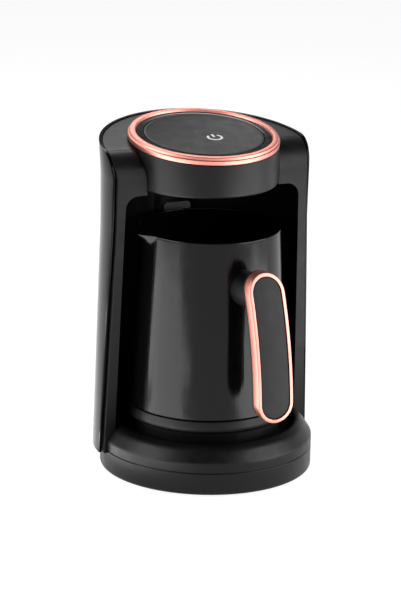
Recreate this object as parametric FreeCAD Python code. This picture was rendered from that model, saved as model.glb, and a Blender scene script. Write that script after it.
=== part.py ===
import FreeCAD, Part
import math
import os

# Electric turkish coffee maker: a round base with a C-shaped column, a head with one large
# push button over the pot, and a pot that lifts out of its seat by its long upright handle.
# Millimetres. +Z is up, -Y is the front (the handle side), +X is the right side seen from the
# front. The origin is on the worktop, on the axis of the round base and of the seated pot.

V = FreeCAD.Vector

# Base: driving sizes
BASE_R = 80.0
FOOT_PROUD = 1.2
SEAM_Z = 18.2
SEAM_GROOVE = 0.45
BAND_Z = 26.0
LIP_R = BASE_R - 10.0
LIP_Z = 37.0
RECESS_R = BASE_R - 18.0
RECESS_Z = 32.5
SEAT_R = RECESS_R - 6.5
SEAT_Z = 41.5
BASE_WALL = 2.6
PLATE_T = 2.4
EDGE_ROUND = 2.4
FOOT_IN_R = BASE_R - 14.0
FOOT_OUT_R = BASE_R - 8.0
FOOT_SUNK = 1.0
SLACK = 0.2
BASE_SCREW_CIRCLE = BASE_R - 24.0
BOARD_X = BASE_R - 6.0
BOARD_Y = 50.0
BOARD_T = 1.6
BOARD_Z = 8.0
INLET_R = 3.0
INLET_NECK_R = 4.2
INLET_FLANGE_R = 4.9
INLET_Z = 8.2

# Cordless contact between base and pot
SOCKET_R = 15.6
SOCKET_PROUD = 2.8
PIN_PROUD = 0.2
PIN_R = 1.5
PIN_CIRCLES = (0.0, 6.0, 11.0)
CONTACT_GAP = 0.3

# Column: it stands round the bay and carries the head
HEAD_TOP_Z = 254.0
# Sections of the outer skin as (height, centre in y, radius)
SKIN_SECTIONS = (
    (SEAM_Z - 1.8, 0.0, BASE_R + 5.6), (HEAD_TOP_Z - 151.0, 2.7, BASE_R + 2.6),
    (HEAD_TOP_Z - 66.0, 5.2, BASE_R - 0.3), (HEAD_TOP_Z - 27.0, 5.8, BASE_R - 0.2),
    (HEAD_TOP_Z + 11.0, 6.6, BASE_R + 1.8),
)
SKIN_T = 2.0
SKIN_GAP = 0.7
SKIN_SETBACK = 3.0
SKIN_TOP_PROUD = 0.8
FRONT_TOP_Y = -5.5
FRONT_TOP_Z = HEAD_TOP_Z - 36.0
FRONT_LEAN = 1.85
SHOULDER_ROUND = 24.0
SHOULDER_DROP = 7.5
COVER_SEAM_Y = 12.0
COVER_T = 2.4
BAY_Y = -4.0
BAY_R_LOW = BASE_R - 5.6
BAY_R_TOP = BASE_R - 10.4
BAY_TOP_Z = HEAD_TOP_Z - 39.5
BAY_ROUND = 9.5
BAY_BACK_Y = BASE_R - 16.5
FRAME_WALL = 2.6
LEG_DEPTH_Y = 22.0
POCKET_LOW_Z = RECESS_Z + 12.5
RIB_T = 2.2
DUCT_HALF = 14.0
HARNESS_X = 6.5
HARNESS_R = 1.9
COLUMN_SCREW_CIRCLE = BASE_R - 5.0
COLUMN_SCREW_ANGLES = (105, 150, 210, 255)
COLUMN_SCREW_Z = RECESS_Z - 9.0

# Head: the drum stands upright and its top slopes down towards the front
HEAD_Y = 14.0
HEAD_TILT = 6.9
DRUM_R = BASE_R - 23.8
DRUM_WALL = 2.4
DRUM_LOW_Z = BAY_TOP_Z + 2.0
DRUM_ROUND = 2.5
DRUM_SCREW_ANGLES = (112, 180, 248)
SOCKET_GAP = 0.3
UNDER_T = 2.2
TRIM_R = DRUM_R + 0.6
TRIM_IN_R = TRIM_R - 5.8
TRIM_H = 5.8
TRIM_FLANGE = 1.6
BEZEL_WALL = 1.9
WELL_GAP = 0.45
WELL_DEPTH = 8.6
BUTTON_R = TRIM_R - 11.6
BUTTON_TOP = -1.3
BUTTON_T = 2.2
BUTTON_TRAVEL = 1.2
STEM_R = 4.0
STEM_GAP = 0.3
STEM_TIP = -12.5
SPRING_R = 6.6
SPRING_WIRE = 0.8
SPRING_TURNS = 3
CONTROL_R = DRUM_R - 18.8
SWITCH_GAP = 0.1

# Overflow sensor in the back wall of the bay
WINDOW_W = 22.0
WINDOW_H = 22.0
WINDOW_Z = BAY_TOP_Z - 36.5
WINDOW_T = 1.6

# Pot: the whole pot is turned a little about its axis, as it stands in the seat
POT_TURN = 6.0
POT_REST_GAP = 0.3
POT_LOW_R = RECESS_R - 2.8
POT_RIM_R = POT_LOW_R - 6.1
POT_RIM_Z = BAY_TOP_Z - 28.5
POT_WALL = 1.0
COLLAR_R = POT_LOW_R + 1.2
COLLAR_TOP_R = POT_LOW_R + 0.4
COLLAR_TOP_Z = SEAT_Z + 9.9
COLLAR_SEAM = 0.3
COLLAR_WALL = 3.4
SPOUT_PROUD = 8.0
SPOUT_H = 11.0
SPOUT_HALF = 11.0
DOCK_R = 30.0
DOCK_DEPTH = 4.5
RING_PROUD = 0.5

# Handle
HANDLE_FRONT = POT_LOW_R + 42.7
HANDLE_BOW_Z = COLLAR_TOP_Z + 5.6
HANDLE_TOP_Z = POT_RIM_Z - 16.4
HANDLE_LOW_Z = COLLAR_TOP_Z + 10.1
HANDLE_BOW_DEPTH = 21.42
HANDLE_BOW_R = (HANDLE_TOP_Z - HANDLE_BOW_Z) ** 2 / (2 * HANDLE_BOW_DEPTH)
HANDLE_HALF = 14.6
TRIM_BAND = 2.5
TRIM_DEPTH = 8.0
BACK_T = 3.5
GRIP_SUNK = 0.5
BOSS_R = 13.0
BOSS_Z = POT_RIM_Z - 34.7
HANDLE_SCREW_R = 2.0
STUD_END = POT_RIM_R + 12.0

HEAD_BOARD_Z = STEM_TIP - BUTTON_TRAVEL - SWITCH_GAP - 3.6
POT_Z = SEAT_Z + POT_REST_GAP


def outline(points, to_space, closed=True):
    """Wire through points (u, v) or (u, v, radius): a radius rounds that corner with an arc."""
    count = len(points)
    ends = []
    for i, point in enumerate(points):
        here = V(point[0], point[1], 0)
        radius = point[2] if len(point) > 2 else 0.0
        if radius == 0.0 or (not closed and i in (0, count - 1)):
            ends.append((here, here, here))
            continue
        before = points[i - 1]
        after = points[(i + 1) % count]
        a = (V(before[0], before[1], 0) - here).normalize()
        b = (V(after[0], after[1], 0) - here).normalize()
        half = a.getAngle(b) / 2
        reach = radius / math.tan(half)
        bisector = (a + b).normalize()
        middle = here + bisector * (radius / math.sin(half) - radius)
        ends.append((here + a * reach, middle, here + b * reach))
    edges = []
    for i, (start, middle, end) in enumerate(ends):
        if start.distanceToPoint(end) > 1e-7:
            arc = Part.Arc(*[to_space(p.x, p.y) for p in (start, middle, end)])
            edges.append(arc.toShape())
        following = ends[(i + 1) % count][0]
        if (closed or i < count - 1) and end.distanceToPoint(following) > 1e-7:
            line = Part.LineSegment(to_space(end.x, end.y), to_space(following.x, following.y))
            edges.append(line.toShape())
    return Part.Wire(edges)


def turned(points, centre_y=0.0):
    """Solid of revolution of a profile (radius, height) about an upright axis."""
    wire = outline(points, lambda r, z: V(r, centre_y, z))
    return Part.Face(wire).revolve(V(0, centre_y, 0), V(0, 0, 1), 360)


def side_prism(points, half_width):
    """Solid whose outline (y, z) is seen from the side, centred on the middle plane."""
    wire = outline(points, lambda y, z: V(-half_width, y, z))
    return Part.Face(wire).extrude(V(2 * half_width, 0, 0))


def front_prism(points, y0, y1):
    """Solid whose outline (x, z) is seen from the front, between two planes of y."""
    wire = outline(points, lambda x, z: V(x, y0, z))
    return Part.Face(wire).extrude(V(0, y1 - y0, 0))


def plan_prism(points, z0, z1):
    """Solid whose outline (x, y) is seen from above, between two heights."""
    wire = outline(points, lambda x, y: V(x, y, z0))
    return Part.Face(wire).extrude(V(0, 0, z1 - z0))


def box(x0, x1, y0, y1, z0, z1):
    return Part.makeBox(x1 - x0, y1 - y0, z1 - z0, V(x0, y0, z0))


def upright(radius, z0, z1, x=0.0, y=0.0):
    return Part.makeCylinder(radius, z1 - z0, V(x, y, z0))


def tube(r_in, r_out, z0, z1, x=0.0, y=0.0):
    return upright(r_out, z0, z1, x, y).cut(upright(r_in, z0, z1, x, y))


def on_circle(radius, degrees):
    """Point at an angle from the front, counted towards +X."""
    turn = math.radians(degrees)
    return radius * math.sin(turn), -radius * math.cos(turn)


def joined(shapes):
    """One solid, or several that lie apart, from shapes that overlap or touch."""
    result = shapes[0]
    if len(shapes) > 1:
        result = result.fuse(list(shapes[1:]))
    return result.removeSplitter()


def in_head(shape):
    """Moves a piece from the head's own frame, whose origin is the middle of the ring plane."""
    placed = shape.copy()
    placed.rotate(V(0, 0, 0), V(1, 0, 0), HEAD_TILT)
    placed.translate(V(0, HEAD_Y, HEAD_TOP_Z))
    return placed


def in_pot(shape):
    """Turns a piece of the pot, drawn with its handle at the front, to the way it stands."""
    placed = shape.copy()
    placed.rotate(V(0, 0, 0), V(0, 0, 1), POT_TURN)
    return placed


def pan_screw(head_r, head_h, shank_r, length):
    """Screw that points up: its head hangs below the origin and its shank rises from it."""
    head = turned([(0, -head_h), (head_r, -head_h, head_h * 0.45), (head_r, 0), (0, 0)])
    recess = turned([(0, -head_h - 0.1), (head_r * 0.45, -head_h - 0.1), (0, -head_h * 0.35)])
    tip = shank_r * 0.6
    shank = turned([(0, 0), (shank_r, 0), (shank_r, length - tip), (tip, length), (0, length)])
    return joined([head.cut(recess), shank])


def placed_at(shape, position, direction=None):
    moved = shape.copy()
    if direction is not None:
        moved.Placement = FreeCAD.Placement(V(0, 0, 0), FreeCAD.Rotation(V(0, 0, 1), direction))
    moved.translate(position)
    return moved


# Shared bodies of the column

def skin_solid(inset):
    """The column's outer form, drawn in by an inset."""
    wires = []
    for height, centre, radius in SKIN_SECTIONS:
        circle = Part.Circle(V(0, centre, height), V(0, 0, 1), radius - inset)
        wires.append(Part.Wire(circle.toShape()))
    return Part.makeLoft(wires, True, False)


def front_y(z):
    return FRONT_TOP_Y + (FRONT_TOP_Z - z) * math.tan(math.radians(FRONT_LEAN))


def shoulder_z(y):
    return HEAD_TOP_Z - SHOULDER_DROP + (y - HEAD_Y) * math.tan(math.radians(HEAD_TILT))


def side_block(setback, raised, low_z):
    """Everything behind the leaning front plane and under the sloping shoulder plane."""
    reach = 1.5 * BASE_R
    lean = math.tan(math.radians(FRONT_LEAN))
    slope = math.tan(math.radians(HEAD_TILT))
    y_at_0 = front_y(0.0) + setback
    z_at_0 = shoulder_z(0.0) + raised
    # corner where the front plane y = y_at_0 - lean * z meets the top plane z = z_at_0 + slope * y
    corner_y = (y_at_0 - lean * z_at_0) / (1 + lean * slope)
    corner_z = z_at_0 + slope * corner_y
    points = [
        (y_at_0 - lean * low_z, low_z),
        (corner_y, corner_z, SHOULDER_ROUND - setback),
        (reach, z_at_0 + slope * reach),
        (reach, low_z),
    ]
    return side_prism(points, reach)


def bay(extra):
    """The open bay for the pot, let out by an extra wall."""
    taper = (BAY_R_LOW - BAY_R_TOP) / (BAY_TOP_Z - SEAM_Z)
    low = 0.0
    points = [
        (0, low),
        (BAY_R_LOW + taper * (SEAM_Z - low) + extra, low),
        (BAY_R_TOP + extra, BAY_TOP_Z + extra, BAY_ROUND),
        (0, BAY_TOP_Z + extra),
    ]
    behind = box(-2 * BASE_R, 2 * BASE_R, BAY_BACK_Y + extra, 2 * BASE_R, low - 1, BAY_TOP_Z + extra + 1)
    return turned(points, BAY_Y).cut(behind)


def base_top_solid():
    """The filled form of the base's upper moulding, down to the seam."""
    return turned([
        (0, SEAM_Z), (BASE_R - SEAM_GROOVE, SEAM_Z), (BASE_R, SEAM_Z + SEAM_GROOVE),
        (BASE_R, BAND_Z, 4.0), (LIP_R + 3.4, LIP_Z - 1.2, 9.0), (LIP_R - 3.0, LIP_Z + 0.1, 3.0),
        (RECESS_R, RECESS_Z, 2.0), (0, RECESS_Z),
    ])


# Base pieces

def base_lower_ring():
    wall_in = BASE_R - BASE_WALL
    plate_top = FOOT_PROUD + PLATE_T
    ring = turned([
        (wall_in, FOOT_PROUD), (BASE_R, FOOT_PROUD, EDGE_ROUND), (BASE_R, SEAM_Z - SEAM_GROOVE),
        (BASE_R - SEAM_GROOVE, SEAM_Z), (wall_in, SEAM_Z),
        (wall_in, plate_top + 2.0), (wall_in - 5.0, plate_top + 2.0),
        (wall_in - 5.0, plate_top), (wall_in, plate_top),
    ])
    hole = Part.makeCylinder(INLET_NECK_R + SLACK / 2, 20, V(0, BASE_R - 12, INLET_Z), V(0, 1, 0))
    return ring.cut(hole)


def base_plate():
    plate_top = FOOT_PROUD + PLATE_T
    plate = upright(BASE_R - BASE_WALL - SLACK, FOOT_PROUD, plate_top)
    groove = tube(FOOT_IN_R, FOOT_OUT_R, FOOT_PROUD, FOOT_PROUD + FOOT_SUNK)
    cuts = [groove]
    for x, y in base_screw_places():
        cuts.append(upright(1.7, 0, plate_top + 1, x, y))
        cuts.append(upright(3.3, 0, FOOT_PROUD + 1.3, x, y))
    for column in range(-3, 4):
        slot = box(column * 6.0 - 1.0, column * 6.0 + 1.0, -14, 14, 0, plate_top + 1)
        cuts.append(slot)
    posts = [upright(3.0, plate_top - 0.2, BOARD_Z, x, y) for x, y in board_post_places()]
    return joined([plate.cut(cuts)] + posts).cut(board_pilots(1.15, plate_top - 1.0))


def board_pilots(radius, low_z):
    return [upright(radius, low_z, BOARD_Z + BOARD_T + 1, x, y) for x, y in board_post_places()]


def base_screw_places():
    return [on_circle(BASE_SCREW_CIRCLE, angle) for angle in (45, 135, 225, 315)]


def board_post_places():
    dx = BOARD_X / 2 - 4.5
    dy = BOARD_Y / 2 - 4.5
    return [(sx * dx, sy * dy) for sx in (-1, 1) for sy in (-1, 1)]


def foot_ring():
    middle = (FOOT_IN_R + FOOT_OUT_R) / 2
    half = (FOOT_OUT_R - FOOT_IN_R) / 2 - 0.1
    return turned([
        (middle - half, FOOT_PROUD + FOOT_SUNK), (middle - half, 0, 0.6),
        (middle + half, 0, 0.6), (middle + half, FOOT_PROUD + FOOT_SUNK),
    ])


def base_screws():
    screw = pan_screw(3.0, 1.2, 1.5, 14.0)
    return [placed_at(screw, V(x, y, FOOT_PROUD + 1.3)) for x, y in base_screw_places()]


def base_top():
    inner = BASE_R - BASE_WALL
    hollow = turned([
        (0, SEAM_Z - 1), (inner, SEAM_Z - 1), (inner, BAND_Z - 0.8, 3.0),
        (LIP_R + 2.0, LIP_Z - 1.2 - BASE_WALL, 6.0), (LIP_R - 3.4, LIP_Z - BASE_WALL, 2.0),
        (RECESS_R - 1.0, RECESS_Z - BASE_WALL, 2.0), (0, RECESS_Z - BASE_WALL),
    ])
    plate_top = FOOT_PROUD + PLATE_T
    cuts = [upright(SEAT_R - 5.0, SEAM_Z, RECESS_Z + 1)]
    duct_y = BAY_BACK_Y + FRAME_WALL + 1.5
    cuts.append(box(-DUCT_HALF + 4, DUCT_HALF - 4, duct_y, BASE_R - 5, BAND_Z - 3, LIP_Z + 6))
    bosses = []
    for x, y in base_screw_places():
        bosses.append(tube(1.55, 4.0, plate_top, RECESS_Z - BASE_WALL + 0.5, x, y))
    for x, y in column_screw_places():
        bosses.append(upright(3.4, COLUMN_SCREW_Z, LIP_Z + 5, x, y).common(base_top_solid()))
        cuts.append(upright(1.6, SEAM_Z, LIP_Z + 5, x, y))
    return joined([base_top_solid().cut(hollow)] + bosses).cut(cuts)


def column_screw_places():
    return [on_circle(COLUMN_SCREW_CIRCLE, angle) for angle in COLUMN_SCREW_ANGLES]


def pot_seat():
    wall = 2.2
    seat = turned([
        (SEAT_R - wall, RECESS_Z), (SEAT_R, RECESS_Z), (SEAT_R, SEAT_Z, 1.6),
        (SOCKET_R + SLACK, SEAT_Z), (SOCKET_R + SLACK, SEAT_Z - wall), (SEAT_R - wall, SEAT_Z - wall),
    ])
    return seat


def contact_socket():
    wall = 2.2
    seat_under = SEAT_Z - wall
    body = turned([
        (0, seat_under - 6.0), (SOCKET_R + 5.0, seat_under - 6.0), (SOCKET_R + 5.0, seat_under),
        (SOCKET_R, seat_under), (SOCKET_R, SEAT_Z + SOCKET_PROUD, 1.2), (0, SEAT_Z + SOCKET_PROUD),
    ])
    holes = [upright(PIN_R + 0.05, 0, 60, x, y) for x, y in pin_places()]
    return body.cut(holes)


def pin_places():
    places = []
    for index, circle in enumerate(PIN_CIRCLES):
        places.append(on_circle(circle, 120 * index))
    return places


def contact_pins():
    top = SEAT_Z + SOCKET_PROUD + PIN_PROUD
    low = SEAT_Z - 12.0
    pin = turned([(0, low), (PIN_R, low), (PIN_R, top, 0.5), (0, top)])
    return [placed_at(pin, V(x, y, 0)) for x, y in pin_places()]


def power_board():
    board = box(-BOARD_X / 2, BOARD_X / 2, -BOARD_Y / 2, BOARD_Y / 2, BOARD_Z, BOARD_Z + BOARD_T)
    return board.cut(board_pilots(1.4, BOARD_Z - 1))


def board_screws():
    screw = placed_at(pan_screw(2.2, 1.2, 1.1, 4.2), V(0, 0, 0), V(0, 0, -1))
    return [placed_at(screw, V(x, y, BOARD_Z + BOARD_T)) for x, y in board_post_places()]


def power_relay():
    top = BOARD_Z + BOARD_T
    x = BOARD_X / 2 - 10.0
    return plan_prism([(x - 19, -16, 1), (x, -16, 1), (x, -3, 1), (x - 19, -3, 1)], top, top + 13.0)


def capacitors():
    top = BOARD_Z + BOARD_T
    can = turned([(0, top), (4.0, top), (4.0, top + 10.5, 0.8), (0, top + 10.5)])
    return [placed_at(can, V(-7.0, y, 0)) for y in (-12.0, 0.0)]


def terminal_block():
    top = BOARD_Z + BOARD_T
    x = 6.0 - BOARD_X / 2
    block = box(x, x + 16, -12, 12, top, top + 10.0)
    entries = [box(x - 1, x + 7, y - 2, y + 2, top + 1.5, top + 6.0) for y in (-8.0, 0.0, 8.0)]
    screws = [upright(1.6, top + 8.2, top + 11, x + 11, y) for y in (-8.0, 0.0, 8.0)]
    return block.cut(entries + screws)


def cord_grommet():
    neck = Part.makeCylinder(INLET_NECK_R, 7.0, V(0, BASE_R - 5.0, INLET_Z), V(0, 1, 0))
    flange = Part.makeCylinder(INLET_FLANGE_R, 2.4, V(0, BASE_R - 0.2, INLET_Z), V(0, 1, 0))
    flange = flange.cut(upright(BASE_R, 0, SEAM_Z))
    bore = Part.makeCylinder(INLET_R, 20.0, V(0, BASE_R - 10.0, INLET_Z), V(0, 1, 0))
    return joined([neck, flange]).cut(bore)


# Column pieces

def pocket():
    """Space behind the bay's wall, with upright ribs left standing in it."""
    space = box(-2 * BASE_R, 2 * BASE_R, LEG_DEPTH_Y, 2 * BASE_R, POCKET_LOW_Z, BAY_TOP_Z - 4.0)
    space = space.cut(bay(FRAME_WALL))
    ribs = []
    for angle in (100, 125, 150, 210, 235, 260):
        rib = box(-RIB_T / 2, RIB_T / 2, -1.5 * BASE_R, -0.5 * BASE_R, 0, BAY_TOP_Z)
        rib.rotate(V(0, 0, 0), V(0, 0, 1), angle)
        ribs.append(rib)
    return space.cut(ribs)


def drum_bore(radius, low_z, high_z):
    return upright(radius, low_z, high_z, 0, HEAD_Y)


def cover_zone():
    """Space of the top cover: a plate under the shoulder plane, behind the cover's seam."""
    slab = side_block(0, 0, POCKET_LOW_Z).cut(side_block(-30.0, -COVER_T, 0))
    return slab.common(box(-2 * BASE_R, 2 * BASE_R, COVER_SEAM_Y, 2 * BASE_R, DRUM_LOW_Z, HEAD_TOP_Z + 40))


def column_frame():
    blank = skin_solid(SKIN_T + SKIN_GAP).common(side_block(0, 0, SEAM_Z - 2))
    blank = blank.cut(upright(BASE_R + 20, 0, BAND_Z + 1.5))
    behind_seam = box(
        -2 * BASE_R, 2 * BASE_R, COVER_SEAM_Y + 2.0, 2 * BASE_R, BAY_TOP_Z + FRAME_WALL, HEAD_TOP_Z + 40
    )
    top_space = skin_solid(SKIN_T + SKIN_GAP + FRAME_WALL).common(behind_seam)
    top_space = top_space.cut(drum_bore(DRUM_R + SOCKET_GAP + FRAME_WALL, DRUM_LOW_Z - 10, HEAD_TOP_Z + 50))
    duct_y = BAY_BACK_Y + FRAME_WALL
    cuts = [
        bay(0.0),
        base_top_solid(),
        drum_bore(DRUM_R + SOCKET_GAP, BAY_TOP_Z - 1, HEAD_TOP_Z + 50),
        pocket(),
        top_space,
        cover_zone(),
        box(-DUCT_HALF, DUCT_HALF, duct_y, 2 * BASE_R, BAND_Z, POCKET_LOW_Z + 1),
        box(-DUCT_HALF, DUCT_HALF, duct_y + 1, duct_y + 13, BAY_TOP_Z - 6, BAY_TOP_Z + 6),
        wire_slot(),
        window_opening(),
    ]
    for x, y in column_screw_places():
        cuts.append(upright(1.45, 15, POCKET_LOW_Z - 1.5, x, y))
    for place, direction in skin_screw_places():
        cuts.append(Part.makeCylinder(1.45, 12, place - direction * 10, direction))
    for angle in DRUM_SCREW_ANGLES:
        cuts.append(drum_screw_bar(1.25, 3.4, angle))
    return blank.cut(cuts)


def window_opening():
    return box(-WINDOW_W / 2 + 2, WINDOW_W / 2 - 2, BAY_BACK_Y - 5, BAY_BACK_Y + 5,
               WINDOW_Z - WINDOW_H / 2 + 2, WINDOW_Z + WINDOW_H / 2 - 2)


def wire_slot():
    middle = HEAD_TOP_Z - 24.0
    return box(HARNESS_X - 5, HARNESS_X + 5, HEAD_Y + 40, HEAD_Y + 64, middle - 9, middle + 5)


def back_shell():
    skin = skin_solid(0.0).cut(skin_solid(SKIN_T))
    skin = skin.common(side_block(SKIN_SETBACK, SKIN_TOP_PROUD, 0))
    holes = []
    for place, direction in skin_screw_places():
        holes.append(Part.makeCylinder(1.8, 20, place - direction * 10, direction))
        holes.append(Part.makeCone(1.8, 3.4, 1.5, place - direction * 1.5, direction))
        holes.append(Part.makeCylinder(3.4, 3.0, place, direction))
    return skin.cut(holes)


def skin_screw_places():
    """Points on the outer skin at the low back, each with the outward direction there."""
    places = []
    for x in (-26.0, 26.0):
        height = POCKET_LOW_Z - 8.0
        low, high = SKIN_SECTIONS[0], SKIN_SECTIONS[1]
        share = (height - low[0]) / (high[0] - low[0])
        centre = low[1] + share * (high[1] - low[1])
        radius = low[2] + share * (high[2] - low[2])
        y = centre + math.sqrt(radius ** 2 - x ** 2)
        places.append((V(x, y - 0.4, height), V(x, y - centre, 0).normalize()))
    return places


def skin_screws():
    screws = []
    for place, direction in skin_screw_places():
        screw = turned([
            (0, 0), (3.2, 0), (1.4, 1.5), (1.4, 9.0), (0.6, 10.0), (0, 10.0),
        ])
        screws.append(placed_at(screw, place, direction * -1))
    return screws


def column_screws():
    screw = pan_screw(2.2, 1.8, 1.4, 18.0)
    return [placed_at(screw, V(x, y, COLUMN_SCREW_Z)) for x, y in column_screw_places()]


def top_cover():
    plate = skin_solid(SKIN_T + SKIN_GAP).common(cover_zone())
    return plate.cut(drum_bore(DRUM_R + SOCKET_GAP, DRUM_LOW_Z, HEAD_TOP_Z + 50))


def sensor_window():
    depth = WINDOW_T
    w, h = WINDOW_W / 2, WINDOW_H / 2
    face = [(-w, WINDOW_Z - h, 3), (w, WINDOW_Z - h, 3), (w, WINDOW_Z + h, 3), (-w, WINDOW_Z + h, 3)]
    plate = front_prism(face, BAY_BACK_Y - depth, BAY_BACK_Y)
    neck_w, neck_h = w - 2 - SLACK, h - 2 - SLACK
    neck = box(-neck_w, neck_w, BAY_BACK_Y - 0.1, BAY_BACK_Y + FRAME_WALL, -neck_h, neck_h)
    return joined([plate, placed_at(neck, V(0, 0, WINDOW_Z))])


def sensor_board():
    y = BAY_BACK_Y + FRAME_WALL
    board = box(-11, 11, y, y + BOARD_T, WINDOW_Z - WINDOW_H / 2 - 2, WINDOW_Z + WINDOW_H / 2 + 2)
    part_y = y + BOARD_T
    eyes = [Part.makeCylinder(2.5, 4.0, V(0, part_y - 0.1, WINDOW_Z + dz), V(0, 1, 0)) for dz in (-6, 6)]
    return joined([board] + eyes)


# Head pieces

def drum_screw_bar(radius, length, angle):
    """Radial bar from just inside the drum's wall outwards at an angle from the front."""
    height = DRUM_LOW_Z + 11.0
    x, y = on_circle(DRUM_R - DRUM_WALL - 0.5, angle)
    away = V(x, y, 0).normalize()
    reach = 0.5 + DRUM_WALL + SOCKET_GAP + length
    return Part.makeCylinder(radius, reach, V(x, y + HEAD_Y, height), away)


def head_cut(local_z):
    """Everything above a plane that is parallel to the ring plane."""
    return in_head(box(-2 * BASE_R, 2 * BASE_R, -2 * BASE_R, 2 * BASE_R, local_z, 60))


def head_drum():
    inner = DRUM_R - DRUM_WALL
    wall = turned([
        (inner, DRUM_LOW_Z + DRUM_WALL), (inner - 4, DRUM_LOW_Z + DRUM_WALL), (inner - 4, DRUM_LOW_Z),
        (DRUM_R, DRUM_LOW_Z, DRUM_ROUND), (DRUM_R, HEAD_TOP_Z + 10), (inner, HEAD_TOP_Z + 10),
    ], HEAD_Y)
    cuts = [head_cut(-TRIM_H), wire_slot()]
    for angle in DRUM_SCREW_ANGLES:
        cuts.append(drum_screw_bar(1.7, 0, angle))
    return wall.cut(cuts)


def drum_screws():
    screws = []
    for angle in DRUM_SCREW_ANGLES:
        x, y = on_circle(DRUM_R - DRUM_WALL, angle)
        away = V(x, y, 0).normalize()
        screw = pan_screw(2.6, 1.5, 1.2, DRUM_WALL + SOCKET_GAP + 2.2)
        start = V(x, y + HEAD_Y, DRUM_LOW_Z + 11.0) - away * 0.25
        screws.append(placed_at(screw, start, away))
    return screws


def head_underside():
    inner = DRUM_R - DRUM_WALL - SLACK
    low = DRUM_LOW_Z + DRUM_WALL
    plate = upright(inner, low, low + UNDER_T, 0, HEAD_Y)
    well = upright(inner - 8, low - 1, low + 0.8, 0, HEAD_Y)
    return plate.cut(well)


def trim_ring():
    skirt_in = TRIM_R - 1.7
    ring = turned([
        (skirt_in, -TRIM_H), (TRIM_R - 0.2, -TRIM_H, 0.4), (TRIM_R, -TRIM_FLANGE - 0.9, 0.4),
        (TRIM_R - 1.0, -TRIM_FLANGE - 0.4, 0.3), (TRIM_R - 1.5, 0, 0.9), (TRIM_IN_R + 0.5, 0, 0.5),
        (TRIM_IN_R, -TRIM_FLANGE), (skirt_in, -TRIM_FLANGE),
    ])
    return in_head(ring)


def top_bezel():
    outer = TRIM_R - 1.7 - SLACK
    top = -TRIM_FLANGE
    well_r = BUTTON_R + WELL_GAP
    floor = -WELL_DEPTH
    dish = turned([
        (outer, -TRIM_H), (outer, top), (well_r, top, 0.7),
        (well_r, floor), (STEM_R + STEM_GAP, floor), (STEM_R + STEM_GAP, floor - 4.0),
        (STEM_R + 3.0, floor - 4.0), (STEM_R + 3.0, floor - BEZEL_WALL),
        (well_r + BEZEL_WALL, floor - BEZEL_WALL), (well_r + BEZEL_WALL, top - BEZEL_WALL),
        (outer - BEZEL_WALL, top - BEZEL_WALL), (outer - BEZEL_WALL, -TRIM_H),
    ])
    posts = []
    for x, y in control_post_places():
        posts.append(tube(1.15, 3.0, HEAD_BOARD_Z + BOARD_T, floor - BEZEL_WALL + 0.3, x, y))
    return in_head(joined([dish] + posts))


def control_post_places():
    return [on_circle(CONTROL_R - 5.0, angle) for angle in (0, 120, 240)]


def power_button():
    top = BUTTON_TOP
    skirt = 2.0
    disc = turned([
        (0, top - BUTTON_T), (BUTTON_R - skirt, top - BUTTON_T), (BUTTON_R - skirt, top - BUTTON_T - 2.6),
        (BUTTON_R, top - BUTTON_T - 2.6), (BUTTON_R, top, 0.9), (BUTTON_R - 2.2, top),
        (BUTTON_R - 3.0, top - 0.35), (0, top - 0.35),
    ])
    stem = upright(STEM_R, STEM_TIP, top - BUTTON_T + 0.2)
    return in_head(joined([disc, stem]))


def button_spring():
    """Coil spring, swept half a turn at a time."""
    low = -WELL_DEPTH + SPRING_WIRE / 2 + 0.02
    high = BUTTON_TOP - BUTTON_T - SPRING_WIRE / 2 - 0.02
    halves = 2 * SPRING_TURNS
    rise = (high - low) / halves
    helix = Part.makeHelix(2 * rise, rise, SPRING_R)
    along = V(0, math.pi * SPRING_R, rise).normalize()
    section = Part.Wire(Part.Circle(V(SPRING_R, 0, 0), along, SPRING_WIRE / 2).toShape())
    half_turn = Part.Wire(helix.Edges).makePipeShell([section], True, True)
    parts = []
    for i in range(halves):
        part = half_turn.copy()
        part.rotate(V(0, 0, 0), V(0, 0, 1), 180 * i)
        part.translate(V(0, 0, low + i * rise))
        parts.append(part)
    return in_head(parts[0].fuse(parts[1:]))


def control_board():
    board = upright(CONTROL_R, HEAD_BOARD_Z, HEAD_BOARD_Z + BOARD_T)
    holes = [upright(1.4, HEAD_BOARD_Z - 1, HEAD_BOARD_Z + 4, x, y) for x, y in control_post_places()]
    return in_head(board.cut(holes))


def control_screws():
    screw = pan_screw(2.2, 1.2, 1.1, BOARD_T + 4.0)
    return [in_head(placed_at(screw, V(x, y, HEAD_BOARD_Z))) for x, y in control_post_places()]


def tact_switch():
    low = HEAD_BOARD_Z + BOARD_T
    tip = STEM_TIP - BUTTON_TRAVEL - SWITCH_GAP
    square = [(-3.1, -3.1, 0.4), (3.1, -3.1, 0.4), (3.1, 3.1, 0.4), (-3.1, 3.1, 0.4)]
    body = plan_prism(square, low, tip - 0.6)
    return in_head(joined([body, upright(1.7, tip - 0.8, tip)]))


def buzzer():
    low = HEAD_BOARD_Z + BOARD_T
    body = turned([
        (0, low), (5.0, low), (5.0, low + 3.0, 0.5), (0.8, low + 3.0), (0.8, low + 2.0), (0, low + 2.0),
    ])
    x, y = on_circle(CONTROL_R - 18.0, 300)
    return in_head(placed_at(body, V(x, y, 0)))


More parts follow.
